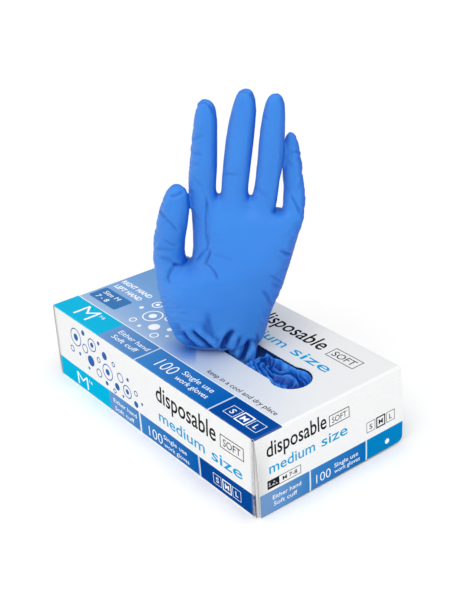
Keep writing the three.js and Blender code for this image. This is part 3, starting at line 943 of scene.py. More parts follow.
def letters(text, x, y, width, height, bold=0.0):
    """Type set from its lower left corner, scaled to a width and cap height."""
    curve = bpy.data.curves.new("type", "FONT")
    assign(curve, body=text, size=1.0, offset=bold, extrude=0.01, resolution_u=3)
    obj = new_object("type", curve)
    graph = bpy.context.evaluated_depsgraph_get()
    mesh = bpy.data.meshes.new_from_object(obj.evaluated_get(graph))
    work = bmesh.new()
    work.from_mesh(mesh)
    bmesh.ops.remove_doubles(work, verts=work.verts, dist=1e-5)
    bmesh.ops.triangulate(work, faces=work.faces)
    verts = np.array([q.co for q in work.verts], float)
    work.verts.index_update()
    faces = [[q.index for q in face.verts] for face in work.faces]
    work.free()
    bpy.data.meshes.remove(mesh)
    bpy.data.objects.remove(obj)
    bpy.data.curves.remove(curve)
    low, high = verts[:, 0].min(), verts[:, 0].max()
    verts[:, 0] = x + (verts[:, 0] - low) * (width / (high - low))
    verts[:, 1] = y + verts[:, 1] * (height / 0.73)
    verts[:, 2] = np.sign(verts[:, 2])
    return verts, faces


def lines_of(*rows):
    """Rows: text, x, y, width, cap height and, where needed, the outline's swelling."""
    return [letters(*row) for row in rows]


def sizes(x, y, side, gap, w=0.4):
    """Three boxes with the glove sizes; this carton's size has the heavy box."""
    out = []
    for k, (text, part) in enumerate((("S", 0.36), ("M", 0.52), ("L", 0.32))):
        x0 = x + k * (side + gap)
        out.append(box(x0, y, x0 + side, y + side, w * (2.6 if text == "M" else 1.0)))
        out.append(letters(text, x0 + side * (1 - part) / 2, y + side * 0.24, side * part,
                           side * 0.52, 0.01))
    return out


def bubbles(spots, w=0.8):
    """Rings and dots: (x, y, radius, kind), kind 0 a dot, 1 a ring, 2 a ring with a dot in it."""
    out = []
    for x, y, r, kind in spots:
        if kind:
            out.append(ring(x, y, r, w))
        if kind != 1:
            out.append(disc(x, y, r if kind == 0 else r * 0.42, 28))
    return out


def cut_long(verts, faces):
    """Cuts a shape's long edges, so that it can follow a curved board."""
    work = bmesh.new()
    made = [work.verts.new(p) for p in verts]
    for face in faces:
        if len(set(face)) == len(face):
            # type can hold the same face twice
            try:
                work.faces.new([made[i] for i in face])
            except ValueError:
                pass
    for _ in range(4):
        long = [e for e in work.edges if (e.verts[0].co - e.verts[1].co).length > 3.0]
        if not long:
            break
        bmesh.ops.subdivide_edges(work, edges=long, cuts=1)
        bmesh.ops.triangulate(work, faces=work.faces)
    work.verts.index_update()
    out = (np.array([p.co for p in work.verts]),
           [[p.index for p in face.verts] for face in work.faces])
    work.free()
    return out


def print_on(name, shapes, place, ink_name, body="carton", slot="white_board"):
    """place(u, v) gives the board's surface points and their outward normals."""
    verts, faces = [], []
    for shape in shapes:
        base = len(verts)
        v, f = cut_long(*shape)
        points, normals = place(v[:, 0], v[:, 1])
        height = np.where(v[:, 2] > 0, INK_UP, -INK_DOWN)
        verts.extend((points + normals * height[:, None]).tolist())
        faces.extend([[i + base for i in q] for q in f])
    obj = mesh_object(name, verts, faces, [INKS[ink_name]], smooth=False)
    recalc_normals(obj.data)
    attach(obj, body)


def surface(obj):
    """Looks up the outer face of a board piece along a direction."""
    mesh = obj.data
    tree = BVHTree.FromPolygons([v.co for v in mesh.vertices],
                                [tuple(p.vertices) for p in mesh.polygons])

    def look_up(points, normal):
        out, d = [], Vector(normal)
        for p in points:
            hit = tree.ray_cast(Vector(p) * MM + d * 0.02, -d, 0.05)[0]     # metres
            out.append(tuple(hit / MM) if hit else tuple(p))
        return np.array(out), np.tile(np.array(normal, float), (len(points), 1))
    return look_up


SLEEVE = surface(sleeve)
END = {sign: surface(bpy.data.objects[f"{side}_end_flap_board"]) for side, sign in ENDS}


def on_top(u, v):
    return SLEEVE(np.c_[u, v, np.full(len(u), HEIGHT)], (0, 0, 1))


def on_side(sign):
    return lambda u, v: SLEEVE(np.c_[-sign * u, np.full(len(u), sign * HALF_Y), v], (0, sign, 0))


def on_base(u, v):
    return SLEEVE(np.c_[u, -v, np.zeros(len(u))], (0, 0, -1))


def on_end(sign):
    return lambda u, v: END[sign](np.c_[np.full(len(u), sign * HALF_X), u * sign, v],
                                  (sign, 0, 0))


def print_top():
    put = partial(print_on, place=on_top, slot="printed_board")
    put("top_print_white", lines_of(
        ("M", -98.5, -59.0, 17.0, 16.5, -0.012), ("7-8", -79.0, -48.5, 6.0, 3.0),
        ("Either hand", -48.9, -51.1, 36.0, 4.6), ("Soft cuff", -47.4, -58.1, 30.0, 4.6),
        ("100", 5.0, -57.6, 18.5, 11.4, -0.012), ("Single use", 27.5, -50.4, 33.0, 4.8),
        ("work gloves", 28.5, -57.6, 34.5, 4.8), ("Size M", -110.5, -24.3, 20.0, 4.6),
        ("7 - 8", -110.5, -31.6, 15.0, 4.6), ("RIGHT HAND", -115.5, -4.0, 38.0, 4.8, 0.022),
        ("LEFT HAND", -113.5, -12.3, 34.0, 4.8, 0.022),
    ) + sizes(82.0, -57.9, 9.4, 2.0), ink_name="white")
    put("top_print_black", [
        letters("disposable", 0.0, 38.5, 68.0, 14.2, 0.010), box(74.5, 37.6, 100.5, 48.8, 0.6),
        letters("SOFT", 77.2, 40.0, 20.6, 6.6),
        letters("keep in a cool and dry place", 37.5, -36.8, 70.5, 4.3, 0.004)],
        ink_name="black")
    put("top_print_cyan", lines_of(("medium", -8.0, 21.0, 56.0, 10.0, 0.006),
                                   ("size", 56.0, 21.0, 36.0, 10.0, 0.006)), ink_name="cyan")
    put("top_ornament", bubbles([
        (-52, -18, 7.5, 2), (-37.5, -27, 4.4, 0), (-40, -11.5, 3.2, 1), (-64, -5, 4.2, 2),
        (-50, -3, 2.4, 0), (-27.5, -34, 3.0, 1), (-26.5, -21, 2.2, 0), (-57.5, -32, 2.6, 1),
        (-46.5, -34, 1.5, 0), (-69, -16.5, 1.8, 0), (-20, -28, 1.4, 0), (-56, 6.5, 1.8, 1),
        (-33, -3.5, 1.5, 0)], w=1.0), ink_name="white")


def print_side(tag, sign):
    put = partial(print_on, place=on_side(sign))
    put(f"{tag}_print_white", lines_of(
        ("M", -93.0, 2.4, 15.0, 12.0, -0.012), ("7-8", -76.5, 10.2, 5.0, 2.4),
        ("Either hand", -42.5, 9.6, 30.0, 3.8), ("Soft cuff", -41.5, 3.2, 25.0, 3.8),
        ("100", 2.4, 3.2, 16.4, 8.9, -0.01), ("Single use", 20.5, 9.6, 27.0, 3.8),
        ("work gloves", 20.5, 3.2, 29.0, 3.8),
    ) + sizes(76.5, 4.2, 8.2, 1.8, 0.36), ink_name="white")
    put(f"{tag}_print_black", [
        letters("disposable", 15.5, 39.4, 66.5, 13.6, 0.010), box(86.6, 38.6, 109.2, 48.0, 0.6),
        letters("SOFT", 89.4, 40.6, 17.0, 5.6)], ink_name="black")
    put(f"{tag}_print_cyan", lines_of(("medium", 17.3, 23.4, 52.0, 9.2, 0.008),
                                      ("size", 76.5, 23.4, 31.0, 9.2, 0.008)), ink_name="cyan")
    put(f"{tag}_ornament", bubbles([
        (-88, 45, 7.0, 2), (-77, 53, 2.2, 0), (-75.5, 40.5, 3.4, 1), (-95, 32.5, 2.4, 1),
        (-84, 32.5, 1.5, 0), (-65.5, 47.5, 5.0, 2), (-68.5, 33, 4.4, 0), (-57.5, 38.5, 2.0, 1),
        (-56, 53, 1.6, 0), (-58.5, 27, 3.2, 1), (-49, 45.5, 3.2, 0), (-46.5, 33, 6.2, 2),
        (-37.5, 43.5, 1.7, 1), (-49, 22.5, 1.8, 0), (-35, 26, 3.0, 0), (-29.5, 36, 3.6, 1),
        (-39, 20.5, 1.6, 1), (-21.5, 28, 5.0, 2), (-19.5, 39, 1.5, 0), (-28, 21, 1.2, 0),
        (-11, 22.5, 2.6, 0), (-10, 32, 1.9, 1), (-3, 26.5, 1.2, 0), (-72.5, 25, 1.3, 0)]),
        ink_name="blue")


def print_base():
    print_on("base_print_blue", [
        box(-100.0, -44.0, 100.0, 44.0, 0.8), rectangle(-92.0, -2.4, 92.0, -1.6),
        letters("100", -90.0, 10.0, 40.0, 22.0, -0.01),
        letters("Single use work gloves", -40.0, 16.0, 128.0, 9.0),
        letters("Size M", -90.0, -26.0, 46.0, 10.0),
    ] + sizes(34.0, -28.0, 15.0, 4.0, 0.6), on_base, "blue")


def print_end(tag, sign):
    put = partial(print_on, place=on_end(sign), body=f"{tag}_end_outer_flap")
    put(f"{tag}_end_print_black", [
        letters("disposable", -55.0, 43.0, 50.0, 11.4, 0.010), box(-2.4, 42.4, 15.0, 50.0, 0.55),
        letters("SOFT", -0.2, 44.0, 13.0, 4.4), rectangle(-55.6, 19.2, -46.2, 25.7),
        box(-46.2, 19.4, -28.2, 25.5, 0.4), letters("M 7-8", -43.2, 21.0, 12.0, 3.0, 0.01),
    ] + sizes(30.5, 22.6, 7.6, 1.7), ink_name="black")
    put(f"{tag}_end_print_cyan", lines_of(("medium", -53.6, 30.4, 38.0, 8.0, 0.008),
                                          ("size", -10.0, 30.4, 23.0, 8.0, 0.008)),
        ink_name="cyan")
    put(f"{tag}_end_print_white", lines_of(
        ("Either hand", -51.8, 10.0, 23.5, 3.3), ("Soft cuff", -51.2, 4.8, 19.5, 3.3),
        ("100", -15.4, 4.3, 12.6, 7.4, -0.01), ("Single use", 0.6, 9.2, 21.5, 3.4),
        ("work gloves", 0.6, 4.6, 23.0, 3.4),
    ) + [disc(49.6, 7.6, 2.0), letters("SIZE", -54.6, 21.0, 7.2, 3.0)], ink_name="white")


print_top()
for side, sign in LONG_SIDES:
    print_side(side, sign)
print_base()
for side, sign in ENDS:
    print_end(side, sign)


# ------------------------------------------------------------------ standing glove: its design
ANGLE = math.radians(50.0)
ACROSS = np.array([math.cos(ANGLE), math.sin(ANGLE), 0.0])      # across the palm
PALM_OUT = np.array([math.sin(ANGLE), -math.cos(ANGLE), 0.0])   # out of the palm
FOOT = np.array([27.0, 3.5, 0.0])
EYE = np.array([529.2, -390.691, 430.147])                      # the creases are drawn from here
PLANE = np.array([27.0, 3.0, 60.0])                             # and lie on a plane through here

# centre line of each digit and web from its tip down: u across the palm, z, radius
DIGITS = {
    "index": [[-16.6, 237.0, 2.2], [-17.1, 235.6, 4.4], [-16.9, 231.6, 6.2], [-17.4, 224, 7.5],
              [-18.4, 216, 8.1], [-19.4, 206, 8.6], [-20.5, 194, 9.1], [-21.7, 184, 9.2],
              [-22.1, 177, 9.1], [-21.2, 168, 9.9], [-18, 152, 8.5]],
    "middle": [[8.2, 243.2, 2.2], [8.2, 241.6, 4.4], [8.0, 237.6, 6.3], [7.0, 230.5, 7.8],
               [5.0, 220, 8.7], [3.2, 209, 9.1], [1.3, 196, 9.1], [-0.35, 184, 9.0],
               [-1.1, 177, 8.9], [-1.5, 169, 10.2], [-1, 150, 8.5]],
    "ring": [[26.4, 239.4, 2.2], [26.5, 237.8, 4.4], [26.3, 233.6, 6.2], [25.4, 226, 7.3],
             [24.3, 216, 8.1], [23.2, 204, 8.5], [22.3, 195, 8.5], [21.3, 189, 8.4],
             [20.4, 184, 8.0], [19.4, 177, 8.1], [18.0, 170, 8.5], [16.2, 163, 8.8],
             [14, 148, 8]],
    "little": [[36.2, 214.8, 1.7], [35.8, 212.2, 3.5], [35.5, 206.6, 5.0], [36.0, 200, 6.0],
               [36.5, 192, 6.7], [36.8, 186, 7.0], [37.5, 178, 7.1], [37.3, 170, 7.5],
               [36.8, 163, 7.4], [33, 150, 8.6]],
    "thumb": [[-37.2, 182.2, 2.6], [-37.3, 180.4, 5.0], [-38.4, 175.2, 8.0],
              [-39.9, 166.5, 9.8], [-42.2, 156, 10.4], [-44.7, 145, 10.4], [-46.1, 136, 10.6],
              [-46.5, 129.5, 11.2], [-45.0, 120, 12.8], [-37, 104, 15]],
    "web_a": [[-11.6, 173.4, 2.0], [-11.7, 171.2, 4.6], [-11.8, 167.5, 7.4], [-11.8, 161, 9.0],
              [-12, 152, 8]],
    "web_b": [[8.8, 171.7, 2.0], [8.6, 169.5, 4.6], [8.2, 166, 7.0], [8, 160, 8.8], [8, 150, 8]],
    "web_c": [[27, 158.2, 1.6], [27, 156.3, 4.0], [26.8, 153, 6.4], [26.5, 148, 8.0],
              [26, 140, 8]],
}
# palm sections upwards: u, z at one edge, u, z at the other, half thickness
PALM = [
    [-33, 61.6, 7, 61.4, 6.5], [-41, 64.2, 11.5, 62.4, 11.5], [-46.6, 70.4, 14.2, 67.2, 15.5],
    [-50.2, 79.5, 17.8, 79, 18.5], [-53.3, 91, 22.0, 92, 20.5], [-55.6, 103, 27, 103.5, 21.5],
    [-56.6, 112.5, 31, 115, 21.5], [-50, 119.0, 33.6, 123, 21], [-38, 122.8, 35.6, 130, 20],
    [-32.0, 128.5, 37.3, 137, 19], [-30.5, 138, 40, 146, 17], [-30.1, 150, 42, 152, 15],
    [-30.2, 160, 43.4, 156, 13], [-29.8, 169, 42, 158.0, 10.2],
]
# neck sections upwards: centre x, y, z, half length, half width, turn in degrees
NECK = [
    [25, 0, 49, 16, 7.4, 0], [25, 0, 54, 16.6, 8.4, 0], [24.6, 0.3, 60, 17, 9.2, 2],
    [24, 0.8, 63.5, 17.2, 10, 12], [22.5, 0.5, 69, 19.5, 12.2, 32], [21, -1, 76, 23, 15, 50],
    [20, -3, 84, 24, 15, 50],
]
# gaps between the digits, upwards: u, z as drawn on the plane
GAPS = (
    ((-34, 126.8), (-33.6, 129.5), (-32.3, 137), (-31.7, 144), (-30.9, 151), (-30.1, 158),
     (-29.5, 190)),
    ((-11.8, 174.6), (-11.3, 178.3), (-10.7, 185), (-9.4, 198.5), (-8.4, 250)),
    ((8.6, 172.9), (9.5, 177.7), (10.6, 184.5), (12.8, 197.8), (14.2, 250)),
    ((27, 160.5), (27, 163.4), (28, 170), (28.9, 177), (29.3, 183.8), (30, 250)),
)
# creases: points u, z as drawn on the plane, width, depth; a negative depth is a ridge
CREASES = [
    # down from the index finger into the palm
    (((-19.1, 172.1), (-19, 167.6), (-20.2, 160.7), (-20.8, 155.1), (-21, 148.7),
      (-20.9, 141.8), (-20.1, 144.8), (-20.7, 136.5), (-21.1, 134.4)), 1.1, 0.9),
    (((-18.3, 168.3), (-18.2, 157.1), (-18.6, 148.6), (-18.8, 148.9), (-18.3, 142.7),
      (-19.7, 137.1), (-21.1, 134.5)), 1, 0.5),
    (((-21.1, 134.5), (-23.8, 132.7), (-26.2, 129.9), (-28.7, 127.4)), 1.3, 0.8),
    (((-18.7, 134.6), (-19.2, 132.2), (-20.5, 128.7), (-22.8, 124.4)), 1.3, 1.1),
    (((-21.3, 124.5), (-18, 120.4), (-15.6, 116.1), (-14.8, 112.1)), 1.2, 0.7),
    (((-22.8, 124.4), (-19.9, 120.9), (-16.8, 117.2), (-15.2, 113.5)), 1, 0.4),
    (((-17.4, 131.4), (-11.1, 129.1), (-4.9, 126.1)), 1.6, 0.3),
    # thumb and its web
    (((-34.4, 126.6), (-37.8, 123.9), (-42.6, 123.5), (-46.1, 119.5), (-48.7, 114.5),
      (-47.7, 110.7)), 1.5, 0.9),
    (((-42.6, 123.5), (-46.7, 125.2), (-49.2, 126.7)), 1.3, 0.5),
    (((-50.6, 164.5), (-49.2, 160.9), (-47.1, 158)), 1.5, 0.8),
    (((-52.4, 152.9), (-49.6, 155.6), (-47.1, 157.7)), 1.3, -0.7),
    (((-47.1, 158), (-43.8, 154.4), (-39.9, 148.9)), 1.3, 0.7),
    (((-43.6, 171.5), (-46.1, 167.1), (-48.1, 162.6)), 1.4, -0.6),
    (((-42.2, 173.2), (-38.6, 174.1), (-34.3, 176.1)), 1.4, 0.7),
    (((-48.4, 142.2), (-45.1, 139.3), (-41.7, 138.2)), 1.5, 0.6),
    (((-54.3, 135.7), (-49.2, 135.6), (-43.5, 134.7)), 1.4, 0.5),
    (((-52.2, 129.7), (-46.5, 128.1), (-41, 123.6)), 1.6, 0.7),
    (((-54.9, 136.8), (-52.4, 140.2), (-51.2, 143)), 1.2, -0.5),
    (((-34.1, 120.2), (-36.9, 116.3), (-40.4, 112.8)), 1.2, -0.35),
    (((-31.9, 119.8), (-33.7, 116.2), (-36.6, 112)), 1.2, -0.35),
    (((-30.3, 119), (-31.2, 114.7), (-32, 112.6)), 1.2, -0.3),
    # the palm's other edge
    (((27.9, 132), (31.1, 131), (35.2, 129.8)), 1.1, 0.8),
    (((20.5, 113.9), (24.3, 112.4), (28.4, 109.3)), 1.2, 0.6),
    (((15.7, 102.4), (19.1, 97.9), (20.6, 93.5), (22.4, 90.5)), 1.3, 0.8),
    (((13.9, 85.5), (15.1, 81.3), (18, 78.6)), 1.4, -0.7),
    (((26.7, 132.9), (30.4, 127.9), (34.2, 127.1)), 1.4, -0.6),
    (((22.9, 108.1), (28, 105)), 1.4, 0.6),
    # folds gathered above the slot
    (((-33.4, 71.4), (-29.3, 67), (-24.5, 61.9), (-18.4, 57.5)), 2.2, 3.3),
    (((-31.2, 72.2), (-25.4, 67.1), (-19, 60.8), (-13.8, 57)), 1.8, -1.5),
    (((-23.2, 84.3), (-22.4, 76.8), (-20.5, 68.3), (-18.2, 61.3)), 3, 1.1),
    (((-26.4, 77.6), (-25.4, 71.5), (-24.3, 66.1)), 2.4, 1),
    (((-6.8, 70.6), (-11, 65), (-14, 58.9), (-12.5, 54.2)), 2.4, 3.5),
    (((-7.2, 67.9), (-5.5, 60.2), (-4.5, 51.6)), 2.4, -1.3),
    (((5.3, 63), (2.7, 56.5), (-1.3, 48.4)), 2.0, 3.0),
    (((6.5, 60.6), (5.6, 53.7), (2.7, 46.7)), 2, -0.9),
    (((-39.2, 62.9), (-34.3, 60.6), (-27.7, 58.5), (-20.4, 57.7)), 2.6, 1.6),
    (((-44.7, 76.6), (-43, 71.3), (-38.7, 65)), 3, 0.8),
    (((8.6, 64.4), (9.8, 59), (11.7, 55.1)), 1.6, 1.5),
    (((10.6, 68.5), (11.2, 63.5), (12.4, 58.5)), 1.4, 1.3),
    (((-40.5, 71.5), (-38.2, 66.5), (-33.2, 62.5)), 1.6, 1.5),
    (((-16.5, 66.5), (-17.2, 61.5), (-16.2, 57.0)), 1.5, 1.4),
    (((-1.2, 66.0), (-3.0, 60.5), (-6.5, 55.0)), 1.4, 1.2),
    # index and middle fingers
    (((-7.4, 187.3), (-3.3, 187.6), (0.8, 186.7)), 1.1, 0.45),
    (((-22.4, 234.4), (-18.5, 235.7), (-14.9, 234.5), (-11.5, 229.6)), 1.2, 0.6),
    (((-15.1, 237), (-14.3, 235.1), (-11.9, 233.1)), 0.9, -0.4),
    (((6.2, 240), (2.9, 233.2), (0.5, 228.5)), 1.2, -0.6),
    (((4.4, 241.4), (9.3, 241.5), (13.5, 237.9)), 1.2, 0.5),
    (((-27.3, 212.4), (-25.5, 211.6), (-19.7, 214.1)), 1.4, 0.5),
    (((-27.1, 205.1), (-26, 202.5), (-21, 201.3)), 1.4, 0.45),
    (((-29.1, 198.6), (-27.6, 195.9), (-22.7, 194.4)), 1.4, 0.35),
    (((-27, 185.1), (-24.6, 182.3), (-21.6, 179.4)), 1.3, 0.3),
    (((-30.9, 179), (-28.6, 179.3), (-27.4, 178.3)), 1.2, -0.5),
    # ring and little fingers
    (((19.3, 225.1), (21.7, 223.7)), 1.3, 0.3),
    (((10.4, 180.5), (13.5, 177), (19.8, 171.3)), 2, 0.3),
    (((34.8, 200.6), (37.8, 201), (41.2, 201.5)), 1.2, 0.5),
    (((34.0, 195.5), (34.8, 193.9), (36.3, 191.1)), 1.1, 0.4),
    (((35.8, 170.8), (38, 166.6), (41.8, 159.8)), 1.3, 0.8),
    (((34.2, 199.9), (35.3, 197.9), (36.8, 199.8)), 1.1, 0.3),
    (((41.7, 182.9), (39.1, 178.9), (35.8, 173.5)), 1.5, -0.6),
    (((39.5, 212.1), (40.7, 206.9), (41.9, 202.9)), 1.3, -0.5),
]


# ------------------------------------------------------------------ standing glove: its form
def loft(rings):
    n = len(rings[0])
    faces = []
    for k in range(len(rings) - 1):
        for i in range(n):
            a, b = k * n + i, k * n + (i + 1) % n
            faces.append([a, b, b + n, a + n])
    faces.append(list(range(n))[::-1])
    faces.append([(len(rings) - 1) * n + i for i in range(n)])
    return [p for r in rings for p in r], faces


def turns(n):
    return np.linspace(0, 2 * math.pi, n, endpoint=False)


def digit_rings(digit, rows):
    rows = np.array(rows, float)
    # the thumb stands in front of the hand's plane and the little finger behind it
    ahead = np.zeros(len(rows))
    if digit == "thumb":
        ahead = 8.0 * ease(120, 156, rows[:, 1])
    elif digit == "little":
        ahead = -6.5 * ease(154, 184, rows[:, 1])
    d = np.gradient(rows[:, :2], axis=0)
    d /= np.linalg.norm(d, axis=1)[:, None]
    rings = []
    for (u, z, r), (du, dz), out in zip(rows, d, ahead):
        rings.append([FOOT + ACROSS * (u + -dz * r * math.cos(t))
                      + np.array([0, 0, z + 0.41 * out + du * r * math.cos(t)])
                      + PALM_OUT * (out + 0.94 * r * math.sin(t)) for t in turns(28)])
    return rings


def palm_ring(u0, z0, u1, z1, half):
    middle = np.array([(u0 + u1) / 2, (z0 + z1) / 2])
    reach = np.array([(u1 - u0) / 2, (z1 - z0) / 2])
    ring = []
    for t in turns(72):
        a = math.copysign(abs(math.cos(t)) ** 0.86, math.cos(t))
        b = math.copysign(abs(math.sin(t)) ** 0.86, math.sin(t))
        ring.append(FOOT + ACROSS * (middle[0] + reach[0] * a)
                    + np.array([0, 0, middle[1] + reach[1] * a]) + PALM_OUT * half * b)
    return ring


def neck_ring(x, y, z, a, b, turn):
    c, s = math.cos(math.radians(turn)), math.sin(math.radians(turn))
    return [np.array([x + a * math.cos(t) * c - b * math.sin(t) * s,
                      y + a * math.cos(t) * s + b * math.sin(t) * c, z]) for t in turns(48)]


def standing_glove_form():
    """Closed, overlapping lofts, to be joined by remeshing."""
    lofts = [digit_rings(digit, rows) for digit, rows in DIGITS.items()]
    lofts.append([palm_ring(*row) for row in PALM])
    lofts.append([neck_ring(*row) for row in NECK])
    verts, faces = [], []
    for rings in lofts:
        v, f = loft(rings)
        faces += [[i + len(verts) for i in q] for q in f]
        verts += v
    mesh = bpy.data.meshes.new("standing_glove_form")
    mesh.from_pydata([(p * MM).tolist() for p in verts], [], faces)
    recalc_normals(mesh)
    return mesh


def apparent(points):
    """Where each point falls on the glove's plane, seen from the eye: (u, z)."""
    d = points - EYE
    t = ((PLANE - EYE) @ PALM_OUT) / (d @ PALM_OUT)
    q = EYE + d * t[:, None] - PLANE
    return q @ ACROSS, q[:, 2] + PLANE[2]


def polyline_distance(u, z, line):
    """Distance of each point from a line, and how far along it (0..1) the nearest place is."""
    best = np.full(len(u), 1e9)
    along = np.zeros(len(u))
    line = np.array(line, float)
    lengths = np.linalg.norm(np.diff(line, axis=0), axis=1)
    total = lengths.sum()
    run = 0.0
    for a, b, length in zip(line[:-1], line[1:], lengths):
        d = b - a
        t = ((u - a[0]) * d[0] + (z - a[1]) * d[1]) / max(length * length, 1e-9)
        t = np.clip(t, 0, 1)
        q = np.hypot(u - a[0] - t * d[0], z - a[1] - t * d[1])
        closer = q < best
        best[closer] = q[closer]
        along[closer] = (run + t[closer] * length) / total
        run += length
    return best, along


def smooth(mesh, steps, factor, weight=None):
    """Laplacian smoothing, only where weight is above zero if one is given."""
    points = coords(mesh)
    count = len(points)
    if weight is None:
        weight = np.ones(count)
    pairs = np.empty(len(mesh.edges) * 2, np.int32)
    mesh.edges.foreach_get("vertices", pairs)
    pairs = pairs.reshape(-1, 2)
    pairs = pairs[(weight[pairs[:, 0]] > 0) | (weight[pairs[:, 1]] > 0)]
    one, two = pairs[:, 0], pairs[:, 1]
    n = np.maximum(np.bincount(pairs.ravel(), minlength=count), 1).astype(float)[:, None]
    pull = (factor * weight)[:, None]
    for _ in range(steps):
        total = np.stack([np.bincount(one, points[two, k], count)
                          + np.bincount(two, points[one, k], count) for k in range(3)], 1)
        points = points + pull * (total / n - points)
    set_coords(mesh, points)


def crumple(points, normals, amount, scale, seed, stretch=(1, 1, 1)):
    """Creased film: folded noise, with sharp valleys and round ridges."""
    q = points * np.array(stretch)
    a = np.abs(noise_at(q, scale, seed))
    b = np.abs(noise_at(q + 31.0, scale * 2.1, seed + 3))
    return points + normals * (amount * (a * 1.6 + b * 0.7 - 0.55))[:, None]


def even_out_hand(mesh):
    """The palm runs into the fingers without a step, except along the gaps between them."""
    points = coords(mesh)
    side_u, depth = (points - FOOT) @ ACROSS, (points - FOOT) @ PALM_OUT
    u, z = apparent(points)
    gap_distance = np.full(len(points), 1e3)
    for line in np.array(GAPS[0]), np.array(GAPS[1]), np.array(GAPS[2]), np.array(GAPS[3]):
        d = np.hypot(u - np.interp(z, line[:, 1], line[:, 0]), np.clip(line[0, 1] - z, 0, None))
        gap_distance = np.minimum(gap_distance, d)
    free = ease(2.2, 5.0, gap_distance)
    off_plane = ease(3.0, 6.0, np.abs(depth))
    fingers = free * ease(144, 156, z) * ease(194, 184, z) * off_plane
    thumb_root = (free * ease(96, 106, z) * ease(140, 130, z) * ease(-18, -32, side_u)
                  * off_plane)
    smooth(mesh, 110, 0.5, np.clip(fingers + thumb_root, 0, 1))


def gap_sides(turn, side_u, z):
    """1 on the digits' sides that face each other. turn: how far a face looks along ACROSS."""
    out = ease(0.35, 0.75, np.abs(turn)) * ease(158, 166, z)
    # not on the outer sides of the index and little fingers
    out *= 1 - ease(0.2, 0.5, -turn) * ease(-14, -20, side_u)
    out *= 1 - ease(0.2, 0.5, turn) * ease(33, 37, side_u)
    thumb = ease(0.3, 0.7, turn) * ease(125, 130, z) * ease(-28, -31, side_u)
    beside_thumb = (ease(0.3, 0.7, -turn) * ease(120, 126, z) * ease(168, 160, z)
                    * ease(-36, -33, side_u))
    return np.clip(out + thumb + beside_thumb, 0, 1)


def crease_depth(u, z):
    """How far the drawn creases push the film outwards."""
    move = np.zeros(len(u))
    for line, width, deep in CREASES:
        d, t = polyline_distance(u, z, line)
        ends = np.minimum(1, np.minimum(t + 0.12, 1.12 - t) * 4.0)
        valley = np.exp(-(d / (width * 0.85)) ** 2)
        wall = 0.25 * np.exp(-((d - width * 1.9) / width) ** 2)
        move += (-deep * valley + deep * wall) * ends
    return np.clip(move, -3.6, 1.5)


def slacken(mesh):
    """Slackness, puckers, creases and pleats; stores how deep the folds are as "fold", for
    painted shade.
    """
    points, normals = coords(mesh), normals_of(mesh)
    u, z = apparent(points)
    view = EYE - points
    view /= np.linalg.norm(view, axis=1)[:, None]
    facing = (normals * view).sum(1)
    front = ease(0.02, 0.3, facing)
    side_u, depth = (points - FOOT) @ ACROSS, (points - FOOT) @ PALM_OUT
    turn = normals @ ACROSS
    gap_side = gap_sides(turn, side_u, points[:, 2])
    # broad slackness: the film isn't blown up tight
    slack = noise_at(points, 0.045, seed=3) * 0.5 + noise_at(points, 0.10, seed=5) * 0.22
    slack *= 0.45 + 0.55 * (1 - ease(150, 215, points[:, 2]))
    slack = slack * (1 - gap_side) - 0.15 * gap_side
    points = points + normals * (slack * (0.35 + 0.65 * (1 - front)))[:, None]
    # short puckers that run in from the outline on both sides
    height = points[:, 2]
    pucker = (noise_at(np.c_[side_u * 0.35, depth * 0.25, height], 0.26, seed=11)
              + 0.6 * noise_at(np.c_[side_u * 0.4, depth * 0.3, height], 0.55, seed=13))
    ridge = 1 - np.abs(pucker) * 1.7
    low_side = ease(0.0, -0.5, turn) * (0.9 + 0.3 * (side_u < -30))
    high_side = ease(0.1, 0.6, turn) * np.where((side_u > 18) & (height < 215), 0.95, 0.25)
    zone = np.clip(low_side + high_side, 0, 1.2) * (ease(62, 80, height) * (1 - gap_side))
    points = points + normals * (0.42 * zone * (ridge - 0.55))[:, None]
    # the back of the hand is slacker
    back = ease(-0.1, 0.6, -(normals @ PALM_OUT)) * ease(62, 90, points[:, 2])
    points = crumple(points, normals * back[:, None], 0.55, 0.05, seed=21, stretch=(1, 1, 0.7))
    move = crease_depth(u, z) * front
    points = points + normals * move[:, None]
    # gathered pleats down to the slot
    angle = np.arctan2(points[:, 1] - 0.6, points[:, 0] - 23.0)
    pleat = (np.sin(angle * 9 + 1.7 * noise_at(points, 0.05, seed=31) + 0.4) * 0.55
             + np.sin(angle * 17 + 2.6 * noise_at(points, 0.06, seed=33)) * 0.3)
    pleat *= ease(92, 66, points[:, 2]) * 0.55 + ease(72, 62, points[:, 2]) * 0.7
    outward = np.stack([np.cos(angle), np.sin(angle), np.zeros(len(points))], 1)
    points = points + outward * pleat[:, None]
    # stays clear of the slot's rim on its way through, and over the board above it
    below = points[:, 2] < HEIGHT + 1.0
    points[below, 1] = np.clip(points[below, 1], -(WAIST - 2.2), WAIST - 2.2)
    over = ~below & (points[:, 2] < HEIGHT + 2.2)
    points[over, 2] = np.maximum(points[over, 2], HEIGHT + 1.6)
    set_coords(mesh, points)
    smooth(mesh, 1, 0.3)
    # painted shade: how deep each crease is, which the film's material darkens
    point_attribute(mesh, "fold", "FLOAT", np.clip(-move / 1.6, 0, 1))


